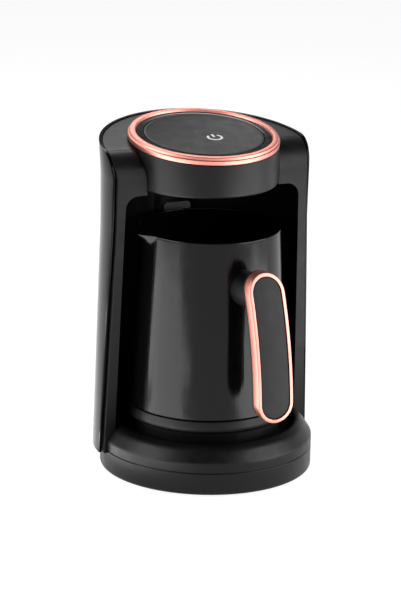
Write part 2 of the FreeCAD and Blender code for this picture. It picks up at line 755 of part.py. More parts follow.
def wire_harness():
    """Bundle from the power board up the column's duct to the control board."""
    x = HARNESS_X
    duct_y = BAY_BACK_Y + FRAME_WALL + 6.0
    head_z = HEAD_TOP_Z - 24.0
    points = [
        (BOARD_Y / 2 - 4.0, BOARD_Z + BOARD_T + 3.0), (duct_y, BOARD_Z + BOARD_T + 3.0, 9.0),
        (duct_y, BAY_TOP_Z - 14, 12.0), (duct_y + 3.5, BAY_TOP_Z + 2, 12.0), (duct_y + 3.5, head_z, 8.0),
        (HEAD_Y + 22.0, head_z),
    ]
    path = outline(points, lambda y, z: V(x, y, z), closed=False)
    section = Part.Wire(Part.Circle(V(x, points[0][0], points[0][1]), V(0, 1, 0), HARNESS_R).toShape())
    return path.makePipeShell([section], True, False)


def head_connector():
    """Plug on the underside of the control board where the wire bundle ends."""
    head_z = HEAD_TOP_Z - 24.0
    return box(HARNESS_X - 6, HARNESS_X + 6, HEAD_Y + 13.0, HEAD_Y + 22.0, head_z - 3.5, head_z + 3.5)


def board_connector():
    """Plug on the power board where the wire bundle starts."""
    top = BOARD_Z + BOARD_T
    return box(HARNESS_X - 6, HARNESS_X + 6, BOARD_Y / 2 - 12.0, BOARD_Y / 2 - 4.0, top, top + 6.0)


# Pot pieces

def pot_cone(inset, low_z, high_z):
    """The pot's tapered wall as a solid, drawn in by an inset."""
    low_r = POT_LOW_R - inset
    rim_r = POT_RIM_R - inset
    slope = (rim_r - low_r) / (POT_RIM_Z - COLLAR_TOP_Z)
    return Part.makeCone(
        low_r + slope * (low_z - COLLAR_TOP_Z), low_r + slope * (high_z - COLLAR_TOP_Z),
        high_z - low_z, V(0, 0, low_z)
    )


def spout(inset, high_z):
    """The pouring lip at the left of the pot: a wedge that swells from the wall up to the rim."""
    wires = []
    for height, proud, half in ((high_z, SPOUT_PROUD, SPOUT_HALF), (POT_RIM_Z - SPOUT_H, 0.6, 2.4)):
        tip = POT_RIM_R + proud - inset * 1.2
        width = half - inset * 0.7
        root = POT_RIM_R - 5.0
        points = [(-tip, 0, 3.2 * half / SPOUT_HALF), (-root, width), (-root, -width)]
        wires.append(outline(points, lambda x, y, z=height: V(x, y, z)))
    return Part.makeLoft(wires, True, True)


def pot_body():
    low = COLLAR_TOP_Z + COLLAR_SEAM
    over = POT_RIM_Z + 1.0
    outer = joined([pot_cone(0, low, POT_RIM_Z), spout(0, POT_RIM_Z)])
    inner = joined([pot_cone(POT_WALL, low + POT_WALL, over), spout(POT_WALL, over)])
    return in_pot(outer.cut(inner))


def pot_collar():
    return in_pot(turned([
        (COLLAR_R - COLLAR_WALL - 1.2, POT_Z), (COLLAR_R - 0.5, POT_Z, 2.6), (COLLAR_R, POT_Z + 4.0, 6.0),
        (COLLAR_TOP_R, COLLAR_TOP_Z, 0.5), (COLLAR_R - COLLAR_WALL, COLLAR_TOP_Z),
        (COLLAR_R - COLLAR_WALL, POT_Z + 2.4), (COLLAR_R - COLLAR_WALL - 1.2, POT_Z + 2.4),
    ]))


def pot_bottom_cover():
    outer = COLLAR_R - COLLAR_WALL - 1.2 - SLACK
    wall = 2.0
    dock_z = POT_Z + DOCK_DEPTH
    cover = turned([
        (outer, POT_Z), (outer, POT_Z + wall), (DOCK_R + wall, POT_Z + wall),
        (DOCK_R + wall, dock_z + wall - 0.3), (SOCKET_R + SLACK, dock_z + wall - 0.3),
        (SOCKET_R + SLACK, dock_z), (DOCK_R, dock_z), (DOCK_R, POT_Z),
    ])
    holes = []
    for x, y in pot_screw_places():
        holes.append(upright(1.5, 30, 60, x, y))
        holes.append(upright(2.9, 30, POT_Z + 1.2, x, y))
    return in_pot(cover.cut(holes))


def pot_screw_places():
    middle = (DOCK_R + COLLAR_R - COLLAR_WALL) / 2 + 3.0
    return [on_circle(middle, angle) for angle in (60, 180, 300)]


def pot_screws():
    screw = pan_screw(2.6, 1.0, 1.3, 6.0)
    return [in_pot(placed_at(screw, V(x, y, POT_Z + 1.2))) for x, y in pot_screw_places()]


def contact_disc():
    ring_z = SEAT_Z + SOCKET_PROUD + PIN_PROUD + CONTACT_GAP
    dock_z = POT_Z + DOCK_DEPTH
    disc = turned([
        (0, ring_z + RING_PROUD), (SOCKET_R - 0.2, ring_z + RING_PROUD), (SOCKET_R - 0.2, dock_z + 1.7),
        (0, dock_z + 1.7),
    ])
    return in_pot(disc.cut(ring_set(0.0, ring_z, ring_z + 1.4)))


def ring_set(slack, low_z, high_z):
    """Flat contact rings that face the spring pins, as separate solids."""
    half = PIN_R + 0.4 - slack
    rings = [upright(half, low_z, high_z)]
    for circle in PIN_CIRCLES[1:]:
        rings.append(tube(circle - half, circle + half, low_z, high_z))
    return rings


def contact_rings():
    ring_z = SEAT_Z + SOCKET_PROUD + PIN_PROUD + CONTACT_GAP
    return [in_pot(ring) for ring in ring_set(0.05, ring_z, ring_z + 1.35)]


def heater_plate():
    top = COLLAR_TOP_Z + COLLAR_SEAM
    plate = upright(COLLAR_R - COLLAR_WALL - 1.0, top - 1.6, top)
    element = Part.makeTorus(DOCK_R + 12.0, 2.4, V(0, 0, top - 2.8))
    keep = upright(70, top - 5.2, top - 1.5)
    pilots = [upright(1.35, 30, top - 0.4, x, y) for x, y in pot_screw_places()]
    posts = [upright(3.2, POT_Z + 2.0, top - 1.5, x, y) for x, y in pot_screw_places()]
    return in_pot(joined([plate, element.common(keep)] + posts).cut(pilots))


def thermostat():
    top = COLLAR_TOP_Z + COLLAR_SEAM - 1.6
    x, y = on_circle(DOCK_R + 6.2, 120)
    body = turned([(0, top - 3.6), (3.2, top - 3.6, 0.4), (3.2, top), (0, top)])
    return in_pot(placed_at(body, V(x, y, 0)))


def bow(setback):
    """Solid in front of which the handle's face bows out, drawn back by a setback."""
    radius = HANDLE_BOW_R - setback
    centre = V(-60, HANDLE_BOW_R - HANDLE_FRONT, HANDLE_BOW_Z)
    return Part.makeCylinder(radius, 120, centre, V(1, 0, 0))


def stadium(inset, y0=-130.0, y1=-50.0):
    half = HANDLE_HALF - inset
    points = [
        (-half, HANDLE_LOW_Z + inset, half), (half, HANDLE_LOW_Z + inset, half),
        (half, HANDLE_TOP_Z - inset, half), (-half, HANDLE_TOP_Z - inset, half),
    ]
    return front_prism(points, y0, y1)


def handle_trim():
    band = stadium(0).cut(stadium(TRIM_BAND))
    ring = band.common(bow(0)).cut(bow(TRIM_DEPTH))
    return in_pot(ring)


def handle_grip():
    inlay = stadium(TRIM_BAND + SLACK / 2).common(bow(GRIP_SUNK)).cut(bow(TRIM_DEPTH))
    head_space = boss_bar(HANDLE_SCREW_R + 2.2, POT_RIM_R, HANDLE_FRONT).common(bow(GRIP_SUNK + 2.5))
    return in_pot(inlay.cut(head_space))


def handle_back():
    plate = stadium(0.6).common(bow(TRIM_DEPTH)).cut(bow(TRIM_DEPTH + BACK_T))
    return in_pot(plate.cut(boss_bar(HANDLE_SCREW_R + 0.2, POT_RIM_R, HANDLE_FRONT)))


def boss_bar(radius, y_near, y_far):
    return Part.makeCylinder(radius, y_far - y_near, V(0, -y_near, BOSS_Z), V(0, -1, 0))


def handle_boss():
    bar = boss_bar(BOSS_R, POT_RIM_R - 6, HANDLE_FRONT)
    limit = bow(TRIM_DEPTH + BACK_T)
    wall = pot_cone(0, COLLAR_TOP_Z, POT_RIM_Z)
    stud_room = boss_bar(4.0, 40, STUD_END + 1)
    return in_pot(bar.common(limit).cut([wall, stud_room, boss_bar(HANDLE_SCREW_R + 0.2, 40, HANDLE_FRONT)]))


def handle_stud():
    """Threaded stud welded to the pot's wall inside the boss."""
    bar = boss_bar(3.9, POT_RIM_R - 6, STUD_END).cut(pot_cone(0, COLLAR_TOP_Z, POT_RIM_Z))
    return in_pot(bar.cut(boss_bar(HANDLE_SCREW_R + 0.05, STUD_END - 8.5, STUD_END + 5)))


def handle_screw():
    """Screw from under the grip, through back and boss, into the stud."""
    back_front = HANDLE_BOW_R - TRIM_DEPTH
    face = math.sqrt(back_front ** 2 - (BOSS_Z - HANDLE_BOW_Z) ** 2) - (HANDLE_BOW_R - HANDLE_FRONT)
    screw = pan_screw(3.8, 2.4, HANDLE_SCREW_R, face - STUD_END + 7.0)
    return in_pot(placed_at(screw, V(0, -face - 1.4, BOSS_Z), V(0, 1, 0)))


PIECES = {
    "base_lower_ring": base_lower_ring,
    "base_plate": base_plate,
    "foot_ring": foot_ring,
    "base_screws": base_screws,
    "base_top": base_top,
    "pot_seat": pot_seat,
    "contact_socket": contact_socket,
    "contact_pins": contact_pins,
    "power_board": power_board,
    "board_screws": board_screws,
    "power_relay": power_relay,
    "capacitors": capacitors,
    "terminal_block": terminal_block,
    "board_connector": board_connector,
    "cord_grommet": cord_grommet,
    "column_frame": column_frame,
    "back_shell": back_shell,
    "skin_screws": skin_screws,
    "column_screws": column_screws,
    "top_cover": top_cover,
    "sensor_window": sensor_window,
    "sensor_board": sensor_board,
    "head_drum": head_drum,
    "drum_screws": drum_screws,
    "head_underside": head_underside,
    "trim_ring": trim_ring,
    "top_bezel": top_bezel,
    "power_button": power_button,
    "button_spring": button_spring,
    "control_board": control_board,
    "control_screws": control_screws,
    "tact_switch": tact_switch,
    "buzzer": buzzer,
    "head_connector": head_connector,
    "wire_harness": wire_harness,
    "pot_body": pot_body,
    "pot_collar": pot_collar,
    "pot_bottom_cover": pot_bottom_cover,
    "pot_screws": pot_screws,
    "contact_disc": contact_disc,
    "contact_rings": contact_rings,
    "heater_plate": heater_plate,
    "thermostat": thermostat,
    "handle_trim": handle_trim,
    "handle_grip": handle_grip,
    "handle_back": handle_back,
    "handle_boss": handle_boss,
    "handle_stud": handle_stud,
    "handle_screw": handle_screw,
}

os.makedirs("parts", exist_ok=True)
for name, make in PIECES.items():
    made = make()
    solids = []
    for item in made if isinstance(made, list) else [made]:
        solids.extend(item.Solids)
    shape = solids[0] if len(solids) == 1 else Part.makeCompound(solids)
    shape.exportStep("parts/" + name + ".step")
    print(f"{name}: {len(solids)} solid(s), {shape.Volume / 1000:.2f} cm3, valid {shape.isValid()}")
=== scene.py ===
"""Looks of an electric turkish coffee maker.

A round base with a C-shaped column, a drum-shaped head with one large push button, and a pot
that lifts out by its long upright handle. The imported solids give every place; the pieces that
show are modelled again here with rounded edges and get their finishes.
"""

import logging
import math
from dataclasses import dataclass, field
from enum import Enum
from typing import Callable, Sequence

import bmesh
import bpy
from mathutils import Matrix, Vector


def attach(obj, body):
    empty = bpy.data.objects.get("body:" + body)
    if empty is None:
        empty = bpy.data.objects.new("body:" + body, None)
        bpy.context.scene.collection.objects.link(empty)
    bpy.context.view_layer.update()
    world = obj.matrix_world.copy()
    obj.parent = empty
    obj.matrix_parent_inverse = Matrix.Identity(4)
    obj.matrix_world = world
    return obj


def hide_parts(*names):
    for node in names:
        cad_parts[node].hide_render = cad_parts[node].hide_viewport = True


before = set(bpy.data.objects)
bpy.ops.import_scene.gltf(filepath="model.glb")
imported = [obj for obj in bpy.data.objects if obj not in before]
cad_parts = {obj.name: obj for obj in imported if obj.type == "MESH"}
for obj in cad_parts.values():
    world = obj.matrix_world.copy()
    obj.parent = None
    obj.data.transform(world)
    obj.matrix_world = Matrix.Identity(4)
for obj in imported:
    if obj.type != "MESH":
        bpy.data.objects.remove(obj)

LOG = logging.getLogger("coffee_maker")
MM = 0.001
# Sizes of the patches in which colour and roughness drift, as melt flow and handling leave them.
PLASTIC_PATCH_MM = 35.0
METAL_PATCH_MM = 12.0
HANDLING_MM = 9.0
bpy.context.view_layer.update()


class Body(Enum):
    """The moving bodies of the machine."""

    MACHINE = "machine"
    BUTTON = "button"
    POT = "pot"


class Element(Enum):
    """What a selection in edit mode picks."""

    VERT = "VERT"
    EDGE = "EDGE"
    FACE = "FACE"


class Cut(Enum):
    """How one solid is carved by another."""

    AWAY = "DIFFERENCE"
    SHARED = "INTERSECT"
    ADDED = "UNION"


# Colour and nodes

def linear(code: str) -> tuple[float, float, float, float]:
    """Turns an sRGB hex colour into the linear values that the sockets take.

    Args:
        code: Colour such as "#1b1b1c".

    Returns:
        Linear red, green and blue, and an alpha of 1.
    """
    channels = []
    for start in (1, 3, 5):
        value = int(code[start:start + 2], 16) / 255
        channels.append(value / 12.92 if value <= 0.04045 else ((value + 0.055) / 1.055) ** 2.4)
    return channels[0], channels[1], channels[2], 1.0


def add_node(tree: bpy.types.NodeTree, kind: str, settings: dict | None = None,
             links: dict | None = None) -> bpy.types.Node:
    """Adds a node with its settings and links.

    Args:
        tree: Node tree that gets the node.
        kind: Blender's name for the node type.
        settings: Values by the name or number of an input, or by the name of a property.
        links: Sockets that feed inputs, by the input's name or number.

    Returns:
        The new node.
    """
    made = tree.nodes.new(kind)
    for key, value in (settings or {}).items():
        if isinstance(key, int) or key in made.inputs:
            made.inputs[key].default_value = value
        else:
            setattr(made, key, value)
    for key, socket in (links or {}).items():
        tree.links.new(socket, made.inputs[key])
    return made


def empty_material(name: str) -> bpy.types.Material:
    """Makes a material with an empty node tree.

    Args:
        name: Name of the finish.

    Returns:
        The material.
    """
    material = bpy.data.materials.new(name)
    material.use_nodes = True
    material.node_tree.nodes.clear()
    return material


def noise(tree: bpy.types.NodeTree, size_mm: float, detail: float = 2.0,
          stretch: tuple[float, float, float] = (1.0, 1.0, 1.0)) -> bpy.types.NodeSocket:
    """Adds a noise whose features have a real size.

    Args:
        tree: Node tree that gets the noise.
        size_mm: Size of one feature.
        detail: Number of finer layers.
        stretch: How much longer the features are along each axis.

    Returns:
        The socket with values about 0.5.
    """
    place = add_node(tree, "ShaderNodeTexCoord")
    scale = tuple(1.0 / (size_mm * MM * s) for s in stretch)
    scaled = add_node(tree, "ShaderNodeMapping", {"Scale": scale}, {"Vector": place.outputs["Object"]})
    return add_node(tree, "ShaderNodeTexNoise", {"Scale": 1.0, "Detail": detail},
                    {"Vector": scaled.outputs["Vector"]}).outputs["Fac"]


# Finishes

@dataclass(frozen=True)
class MouldedPlastic:
    """Injection-moulded ABS: a dyed plastic whose surface is a copy of the steel mould's.

    The spark-eroded mould leaves a fine even grain that breaks up reflections, handling leaves
    the roughness slightly uneven, and moulded edges are never sharp, so they catch the light.
    """

    name: str
    slot: str
    colour: str
    tone: str
    roughness: float
    uneven: float = 0.06
    grain_mm: float = 0.8
    grain_depth_mm: float = 0.01
    grain_stretch: tuple[float, float, float] = (1.0, 1.0, 1.0)
    edge_mm: float = 0.5
    ior: float = 1.5
    specular: float = 0.25

    def material(self) -> bpy.types.Material:
        """Builds the material.

        Returns:
            The finished material.
        """
        made = empty_material(self.name)
        tree = made.node_tree
        tones = {"data_type": "RGBA", 6: linear(self.colour), 7: linear(self.tone)}
        tone = add_node(tree, "ShaderNodeMix", tones, {0: noise(tree, PLASTIC_PATCH_MM, 3.0)})
        rough = add_node(tree, "ShaderNodeMapRange", {
            "From Min": 0.3, "From Max": 0.7,
            "To Min": self.roughness - self.uneven, "To Max": self.roughness + self.uneven,
        }, {"Value": noise(tree, HANDLING_MM, 4.0)})
        edge = add_node(tree, "ShaderNodeBevel", {"samples": 4, "Radius": self.edge_mm * MM})
        grain = add_node(tree, "ShaderNodeBump", {"Strength": 0.6, "Distance": self.grain_depth_mm * MM}, {
            "Height": noise(tree, self.grain_mm, 2.0, self.grain_stretch), "Normal": edge.outputs["Normal"],
        })
        gloss = {"IOR": self.ior, "Specular IOR Level": self.specular}
        shader = add_node(tree, "ShaderNodeBsdfPrincipled", gloss, {
            "Base Color": tone.outputs[2], "Roughness": rough.outputs["Result"],
            "Normal": grain.outputs["Normal"],
        })
        add_node(tree, "ShaderNodeOutputMaterial", links={"Surface": shader.outputs["BSDF"]})
        return made


@dataclass(frozen=True)
class WorkedMetal:
    """A bare or plated metal with the marks of how it was worked.

    Fine parallel lines from brushing or turning stretch the highlights, and wear leaves the
    roughness uneven. A stretch of 1 on each axis gives the even sparkle of a casting or plating.
    """

    name: str
    slot: str
    colour: str
    tone: str
    roughness: float
    line_mm: float = 0.25
    stretch: tuple[float, float, float] = (1.0, 1.0, 1.0)
    depth_mm: float = 0.004
    anisotropy: float = 0.0
    edge_mm: float = 0.2

    def material(self) -> bpy.types.Material:
        """Builds the material.

        Returns:
            The finished material.
        """
        made = empty_material(self.name)
        tree = made.node_tree
        lines = noise(tree, self.line_mm, 3.0, self.stretch)
        tones = {"data_type": "RGBA", 6: linear(self.colour), 7: linear(self.tone)}
        tone = add_node(tree, "ShaderNodeMix", tones, {0: noise(tree, METAL_PATCH_MM, 2.0)})
        rough = add_node(tree, "ShaderNodeMapRange", {
            "From Min": 0.3, "From Max": 0.7, "To Min": self.roughness * 0.8, "To Max": self.roughness * 1.25,
        }, {"Value": lines})
        edge = add_node(tree, "ShaderNodeBevel", {"samples": 4, "Radius": self.edge_mm * MM})
        bump = add_node(tree, "ShaderNodeBump", {"Strength": 0.5, "Distance": self.depth_mm * MM},
                        {"Height": lines, "Normal": edge.outputs["Normal"]})
        metal = {"Metallic": 1.0, "Anisotropic": self.anisotropy}
        shader = add_node(tree, "ShaderNodeBsdfPrincipled", metal, {
            "Base Color": tone.outputs[2], "Roughness": rough.outputs["Result"],
            "Normal": bump.outputs["Normal"],
        })
        add_node(tree, "ShaderNodeOutputMaterial", links={"Surface": shader.outputs["BSDF"]})
        return made


@dataclass(frozen=True)
class CircuitLaminate:
    """Glass-epoxy board: green solder mask over copper tracks, glossy and faintly ribbed."""

    name: str = "fr4_solder_mask"
    slot: str = "circuit_board"
    mask: str = "#1d5a34"
    track: str = "#2c7a48"
    pitch_mm: float = 3.2

    def material(self) -> bpy.types.Material:
        """Builds the material.

        Returns:
            The finished material.
        """
        made = empty_material(self.name)
        tree = made.node_tree
        place = add_node(tree, "ShaderNodeTexCoord")
        grid = add_node(tree, "ShaderNodeTexBrick", {
            "Scale": 1.0, "Brick Width": self.pitch_mm * 3 * MM, "Row Height": self.pitch_mm * MM,
            "Mortar Size": 0.5 * MM, "Color1": linear(self.mask), "Color2": linear(self.mask),
            "Mortar": linear(self.track),
        }, {"Vector": place.outputs["Object"]})
        bump = add_node(tree, "ShaderNodeBump", {"Strength": 0.4, "Distance": 0.03 * MM},
                        {"Height": grid.outputs["Fac"]})
        shader = add_node(tree, "ShaderNodeBsdfPrincipled", {"Roughness": 0.28, "IOR": 1.5},
                          {"Base Color": grid.outputs["Color"], "Normal": bump.outputs["Normal"]})
        add_node(tree, "ShaderNodeOutputMaterial", links={"Surface": shader.outputs["BSDF"]})
        return made


Finish = MouldedPlastic | WorkedMetal | CircuitLaminate

# Spark-eroded ABS of base, column and head: dark, soft broad highlights, a grain seen up close.
SATIN_ABS = MouldedPlastic("satin_abs", "satin_black", "#080809", "#0b0b0c", 0.38,
                           grain_mm=0.7, grain_depth_mm=0.012, edge_mm=0.8)
# Polished ABS of the bezel and of the cases inside: near black, mirror-like, a slight moulding ripple.
GLOSS_ABS = MouldedPlastic("polished_abs", "gloss_black", "#060607", "#09090a", 0.14,
                           uneven=0.03, grain_mm=14.0, grain_depth_mm=0.03, edge_mm=0.6)
# Polished ABS of the back shell: a black mirror that is seen mostly edge on. It is a darker copy of the
# bezel's polished ABS, with its colour and reflection turned down as painted shade on the shell's sides.
SHELL_ABS_PAINTED_SHADE = MouldedPlastic("polished_black_shell_painted_shade", "gloss_black", "#040404", "#070708", 0.12,
                           uneven=0.03, grain_mm=14.0, grain_depth_mm=0.03, edge_mm=0.4, specular=0.13)
# Enamelled drawn steel of the pot: black glass-like coat over drawing marks that run up the wall,
# drawn coarser than the real ones.
POT_ENAMEL = MouldedPlastic("black_enamel_on_steel", "pot_enamel", "#060606", "#090909", 0.15, uneven=0.04,
                            grain_mm=2.6, grain_depth_mm=0.12, grain_stretch=(1.0, 1.0, 60.0), edge_mm=0.5)
# Fine-grained ABS of the seat, dull and black under the pot: a darker, duller copy of the satin ABS, as
# painted shade under the pot's collar.
SEAT_ABS_PAINTED_SHADE = MouldedPlastic("seat_abs_painted_shade", "satin_black", "#050505", "#080808", 0.65,
                          grain_mm=0.5, specular=0.1)
# Matte ABS of grip and button: dark grey, very soft highlight.
MATTE_ABS = MouldedPlastic("matte_abs", "matte_black", "#181819", "#1e1e1f", 0.50,
                           grain_mm=0.6, grain_depth_mm=0.012, edge_mm=0.5)
# Moulded rubber of foot and grommet.
RUBBER = MouldedPlastic("moulded_rubber", "rubber", "#141414", "#1b1b1b", 0.75,
                        grain_mm=1.0, grain_depth_mm=0.02, ior=1.52)
# Natural nylon of the connectors: milky white.
NYLON = MouldedPlastic("natural_nylon", "pale_plastic", "#d9d6c8", "#e4e1d6", 0.45, grain_mm=0.8, ior=1.53)
# Smoked polycarbonate of the sensor window: pale grey, glossy.
SMOKED_PC = MouldedPlastic("smoked_polycarbonate", "smoke_lens", "#7c7d80", "#87888b", 0.2,
                           uneven=0.03, grain_mm=5.0, ior=1.58)
# Printed white ink of the power symbol.
WHITE_INK = MouldedPlastic("white_pad_print_ink", "pale_plastic", "#e9e9e9", "#f2f2f2", 0.5,
                           grain_mm=0.5, grain_depth_mm=0.004, edge_mm=0.05)
# Silicone sleeve of the wire bundle.
WIRE_SLEEVE = MouldedPlastic("silicone_sleeve", "wire_sleeve", "#1a1a1a", "#222222", 0.6,
                             grain_mm=0.6, grain_depth_mm=0.03)
# Rose-gold anodised aluminium: a warm pink metal with fine brushed lines along the rim.
ROSE_ALUMINIUM = WorkedMetal("rose_anodised_aluminium", "rose_gold", "#e29183", "#e7998c", 0.38,
                             line_mm=0.3, stretch=(1.0, 1.0, 0.25), anisotropy=0.3)
# Zinc-plated steel of screws and spring.
ZINC_STEEL = WorkedMetal("zinc_plated_steel", "zinc_steel", "#b9bcc0", "#c6c8cb", 0.32, line_mm=0.4)
# Drawn brass of the contacts.
BRASS = WorkedMetal("drawn_brass", "brass", "#c9a45c", "#d6b36b", 0.28, line_mm=0.3)
# Die-cast aluminium of the heater.
CAST_ALUMINIUM = WorkedMetal("cast_aluminium", "cast_aluminium", "#a9abad", "#b5b7b9", 0.45,
                             line_mm=0.7, depth_mm=0.03)
BOARD_LAMINATE = CircuitLaminate()

_made: dict[str, bpy.types.Material] = {}


def material_of(finish: Finish) -> bpy.types.Material:
    """Gives the material of a finish, built once.

    Args:
        finish: The finish.

    Returns:
        Its material.
    """
    if finish.name not in _made:
        _made[finish.name] = finish.material()
    return _made[finish.name]


# Modelling

Profile = Sequence[tuple[float, ...]]


def deselect_all() -> None:
    """Leaves edit mode and deselects every object."""
    if bpy.context.object and bpy.context.object.mode != "OBJECT":
        bpy.ops.object.mode_set(mode="OBJECT")
    bpy.ops.object.select_all(action="DESELECT")


def take(piece: bpy.types.Object) -> None:
    """Makes a piece the only selected and active object.

    Args:
        piece: The piece to work on.
    """
    deselect_all()
    piece.select_set(True)
    bpy.context.view_layer.objects.active = piece


def edit(piece: bpy.types.Object) -> None:
    """Opens a piece in edit mode with all of it selected.

    Args:
        piece: The piece to open.
    """
    take(piece)
    bpy.ops.object.mode_set(mode="EDIT")
    bpy.ops.mesh.select_mode(type="VERT")
    bpy.ops.mesh.select_all(action="SELECT")


def close() -> None:
    """Ends edit mode."""
    bpy.ops.object.mode_set(mode="OBJECT")


def pick(piece: bpy.types.Object, element: Element, test: Callable[[Vector], bool]) -> None:
    """Selects elements by the place of their middle.

    Args:
        piece: Piece in edit mode.
        element: What is picked.
        test: Says whether a place in millimetres is picked.
    """
    bpy.ops.mesh.select_mode(type=element.value)
    bpy.ops.mesh.select_all(action="DESELECT")
    shape = bmesh.from_edit_mesh(piece.data)
    if element is Element.VERT:
        for vert in shape.verts:
            vert.select = test(vert.co / MM)
    elif element is Element.EDGE:
        for edge in shape.edges:
            edge.select = test((edge.verts[0].co + edge.verts[1].co) / 2 / MM)
    else:
        for face in shape.faces:
            face.select = test(face.calc_center_median() / MM)
    shape.select_flush_mode()
    bmesh.update_edit_mesh(piece.data)


def rounded(points: Profile, steps: int = 5) -> list[tuple[float, float]]:
    """Turns corners with a radius into short runs of points.

    Args:
        points: Corners (u, v) or (u, v, radius) of a closed outline.
        steps: Parts of each rounded corner.

    Returns:
        Points of the outline.
    """
    run: list[tuple[float, float]] = []
    count = len(points)
    for i, point in enumerate(points):
        here = Vector(point[:2])
        radius = point[2] if len(point) > 2 else 0.0
        if radius == 0.0:
            run.append((here.x, here.y))
            continue
        a = (Vector(points[i - 1][:2]) - here).normalized()
        b = (Vector(points[(i + 1) % count][:2]) - here).normalized()
        half = a.angle(b) / 2
        centre = here + (a + b).normalized() * (radius / math.sin(half))
        first = here + a * (radius / math.tan(half)) - centre
        last = here + b * (radius / math.tan(half)) - centre
        for step in range(steps + 1):
            spot = first.normalized().slerp(last.normalized(), step / steps) * radius + centre
            run.append((spot.x, spot.y))
    return run


def wire(name: str, points: Sequence[Vector], closed: bool = True) -> bpy.types.Object:
    """Draws an outline by pulling one vertex from point to point, and leaves it open in edit mode.

    Args:
        name: Name of the piece.
        points: Points in millimetres.
        closed: Whether the end meets the start.

    Returns:
        The piece, in edit mode with everything selected.
    """
    deselect_all()
    bpy.ops.mesh.primitive_plane_add(size=MM)
    piece = bpy.context.object
    piece.name = piece.data.name = name
    edit(piece)
    bpy.ops.mesh.merge(type="CENTER")
    bpy.ops.transform.translate(value=points[0] * MM)
    path = list(points) + ([points[0]] if closed else [])
    for before, after in zip(path, path[1:]):
        bpy.ops.mesh.extrude_region_move(TRANSFORM_OT_translate={"value": (after - before) * MM})
    bpy.ops.mesh.select_all(action="SELECT")
    bpy.ops.mesh.remove_doubles(threshold=1e-6)
    return piece


def turned(name: str, points: Profile, centre_y: float = 0.0, steps: int = 144) -> bpy.types.Object:
    """Spins a closed profile about an upright axis.

    Args:
        name: Name of the piece.
        points: Corners (radius, height) or (radius, height, rounding).
        centre_y: Where the axis stands.
        steps: Parts of the full turn.

    Returns:
        The turned piece.
    """
    run = [Vector((u, centre_y, v)) for u, v in rounded(points)]
    piece = wire(name, run)
    bpy.ops.mesh.spin(steps=steps, angle=math.tau, center=(0, centre_y * MM, 0), axis=(0, 0, 1))
    bpy.ops.mesh.select_all(action="SELECT")
    bpy.ops.mesh.remove_doubles(threshold=2e-6)
    pick(piece, Element.EDGE, lambda spot: math.hypot(spot.x, spot.y - centre_y) < 0.001)
    bpy.ops.mesh.delete(type="EDGE")
    bpy.ops.mesh.select_all(action="SELECT")
    bpy.ops.mesh.normals_make_consistent(inside=False)
    close()
    return piece


def prism(name: str, points: Sequence[Vector], depth: Vector) -> bpy.types.Object:
    """Fills a flat outline and pulls it out to a solid.

    Args:
        name: Name of the piece.
        points: Outline in millimetres.
        depth: How far the outline is pulled.

    Returns:
        The solid.
    """
    piece = wire(name, points)
    bpy.ops.mesh.edge_face_add()
    bpy.ops.mesh.extrude_region_move(TRANSFORM_OT_translate={"value": depth * MM})
    bpy.ops.mesh.select_all(action="SELECT")
    bpy.ops.mesh.normals_make_consistent(inside=False)
    close()
    return piece


def rod(name: str, start: Vector, end: Vector, radius: float,
        end_radius: float | None = None) -> bpy.types.Object:
    """Makes a round bar or cone between two points, for carving.

    Args:
        name: Name of the bar.
        start: Middle of its first end, in millimetres.
        end: Middle of its other end.
        radius: Radius at the start.
        end_radius: Radius at the end where it differs.

    Returns:
        The bar.
    """
    deselect_all()
    length = (end - start).length
    bpy.ops.mesh.primitive_cone_add(
        vertices=48, radius1=radius * MM, radius2=(radius if end_radius is None else end_radius) * MM,
        depth=length * MM, location=(start + end) / 2 * MM,
        rotation=(end - start).to_track_quat("Z", "Y").to_euler(),
    )
    piece = bpy.context.object
    piece.name = piece.data.name = name
    settle(piece)
    return piece


def modify(piece: bpy.types.Object, kind: str, **settings: object) -> None:
    """Adds a modifier and applies it.

    Args:
        piece: Piece that is modified.
        kind: Blender's name for the modifier type.
        settings: The modifier's settings.
    """
    take(piece)
    bpy.ops.object.modifier_add(type=kind)
    modifier = piece.modifiers[-1]
    for key, value in settings.items():
        setattr(modifier, key, value)
    bpy.ops.object.modifier_apply(modifier=modifier.name)


def soften(piece: bpy.types.Object, width: float, segments: int, angle: float = 40.0) -> None:
    """Bevels the sharp edges of a piece.

    Args:
        piece: The piece.
        width: Width of the bevel in millimetres.
        segments: Its steps.
        angle: Angle in degrees from which an edge counts as sharp.
    """
    modify(piece, "BEVEL", width=width * MM, segments=segments, limit_method="ANGLE",
           angle_limit=math.radians(angle))


def carve(piece: bpy.types.Object, cut: Cut, tool: bpy.types.Object) -> None:
    """Carves a piece with another solid, which is used up.

    Args:
        piece: Piece that is carved.
        cut: How it is carved.
        tool: The other solid.
    """
    modify(piece, "BOOLEAN", operation=cut.value, solver="EXACT", object=tool)
    bpy.data.objects.remove(tool, do_unlink=True)


def settle(piece: bpy.types.Object, move: Matrix | None = None) -> None:
    """Puts a piece's place into its mesh.

    Args:
        piece: The piece.
        move: A further move, in metres.
    """
    if move is not None:
        piece.matrix_world = move @ piece.matrix_world
    take(piece)
    bpy.ops.object.transform_apply(location=True, rotation=True, scale=True)


def finish_piece(piece: bpy.types.Object, finish: Finish, body: Body, *nodes: str,
                 smooth: float = 32.0) -> None:
    """Shades a piece, gives it its finish and hangs it on its body.

    Args:
        piece: The finished shape.
        finish: Its finish.
        body: The body that it rides on.
        nodes: The solids that it stands for.
        smooth: Angle in degrees up to which neighbouring faces are shaded as one.
    """
    take(piece)
    bpy.ops.object.shade_smooth_by_angle(angle=math.radians(smooth))
    piece.data.materials.clear()
    piece.data.materials.append(material_of(finish))
    if nodes:
        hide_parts(*nodes)
    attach(piece, body.value)
    LOG.info("%s: %d faces on %s", piece.name, len(piece.data.polygons), body.value)


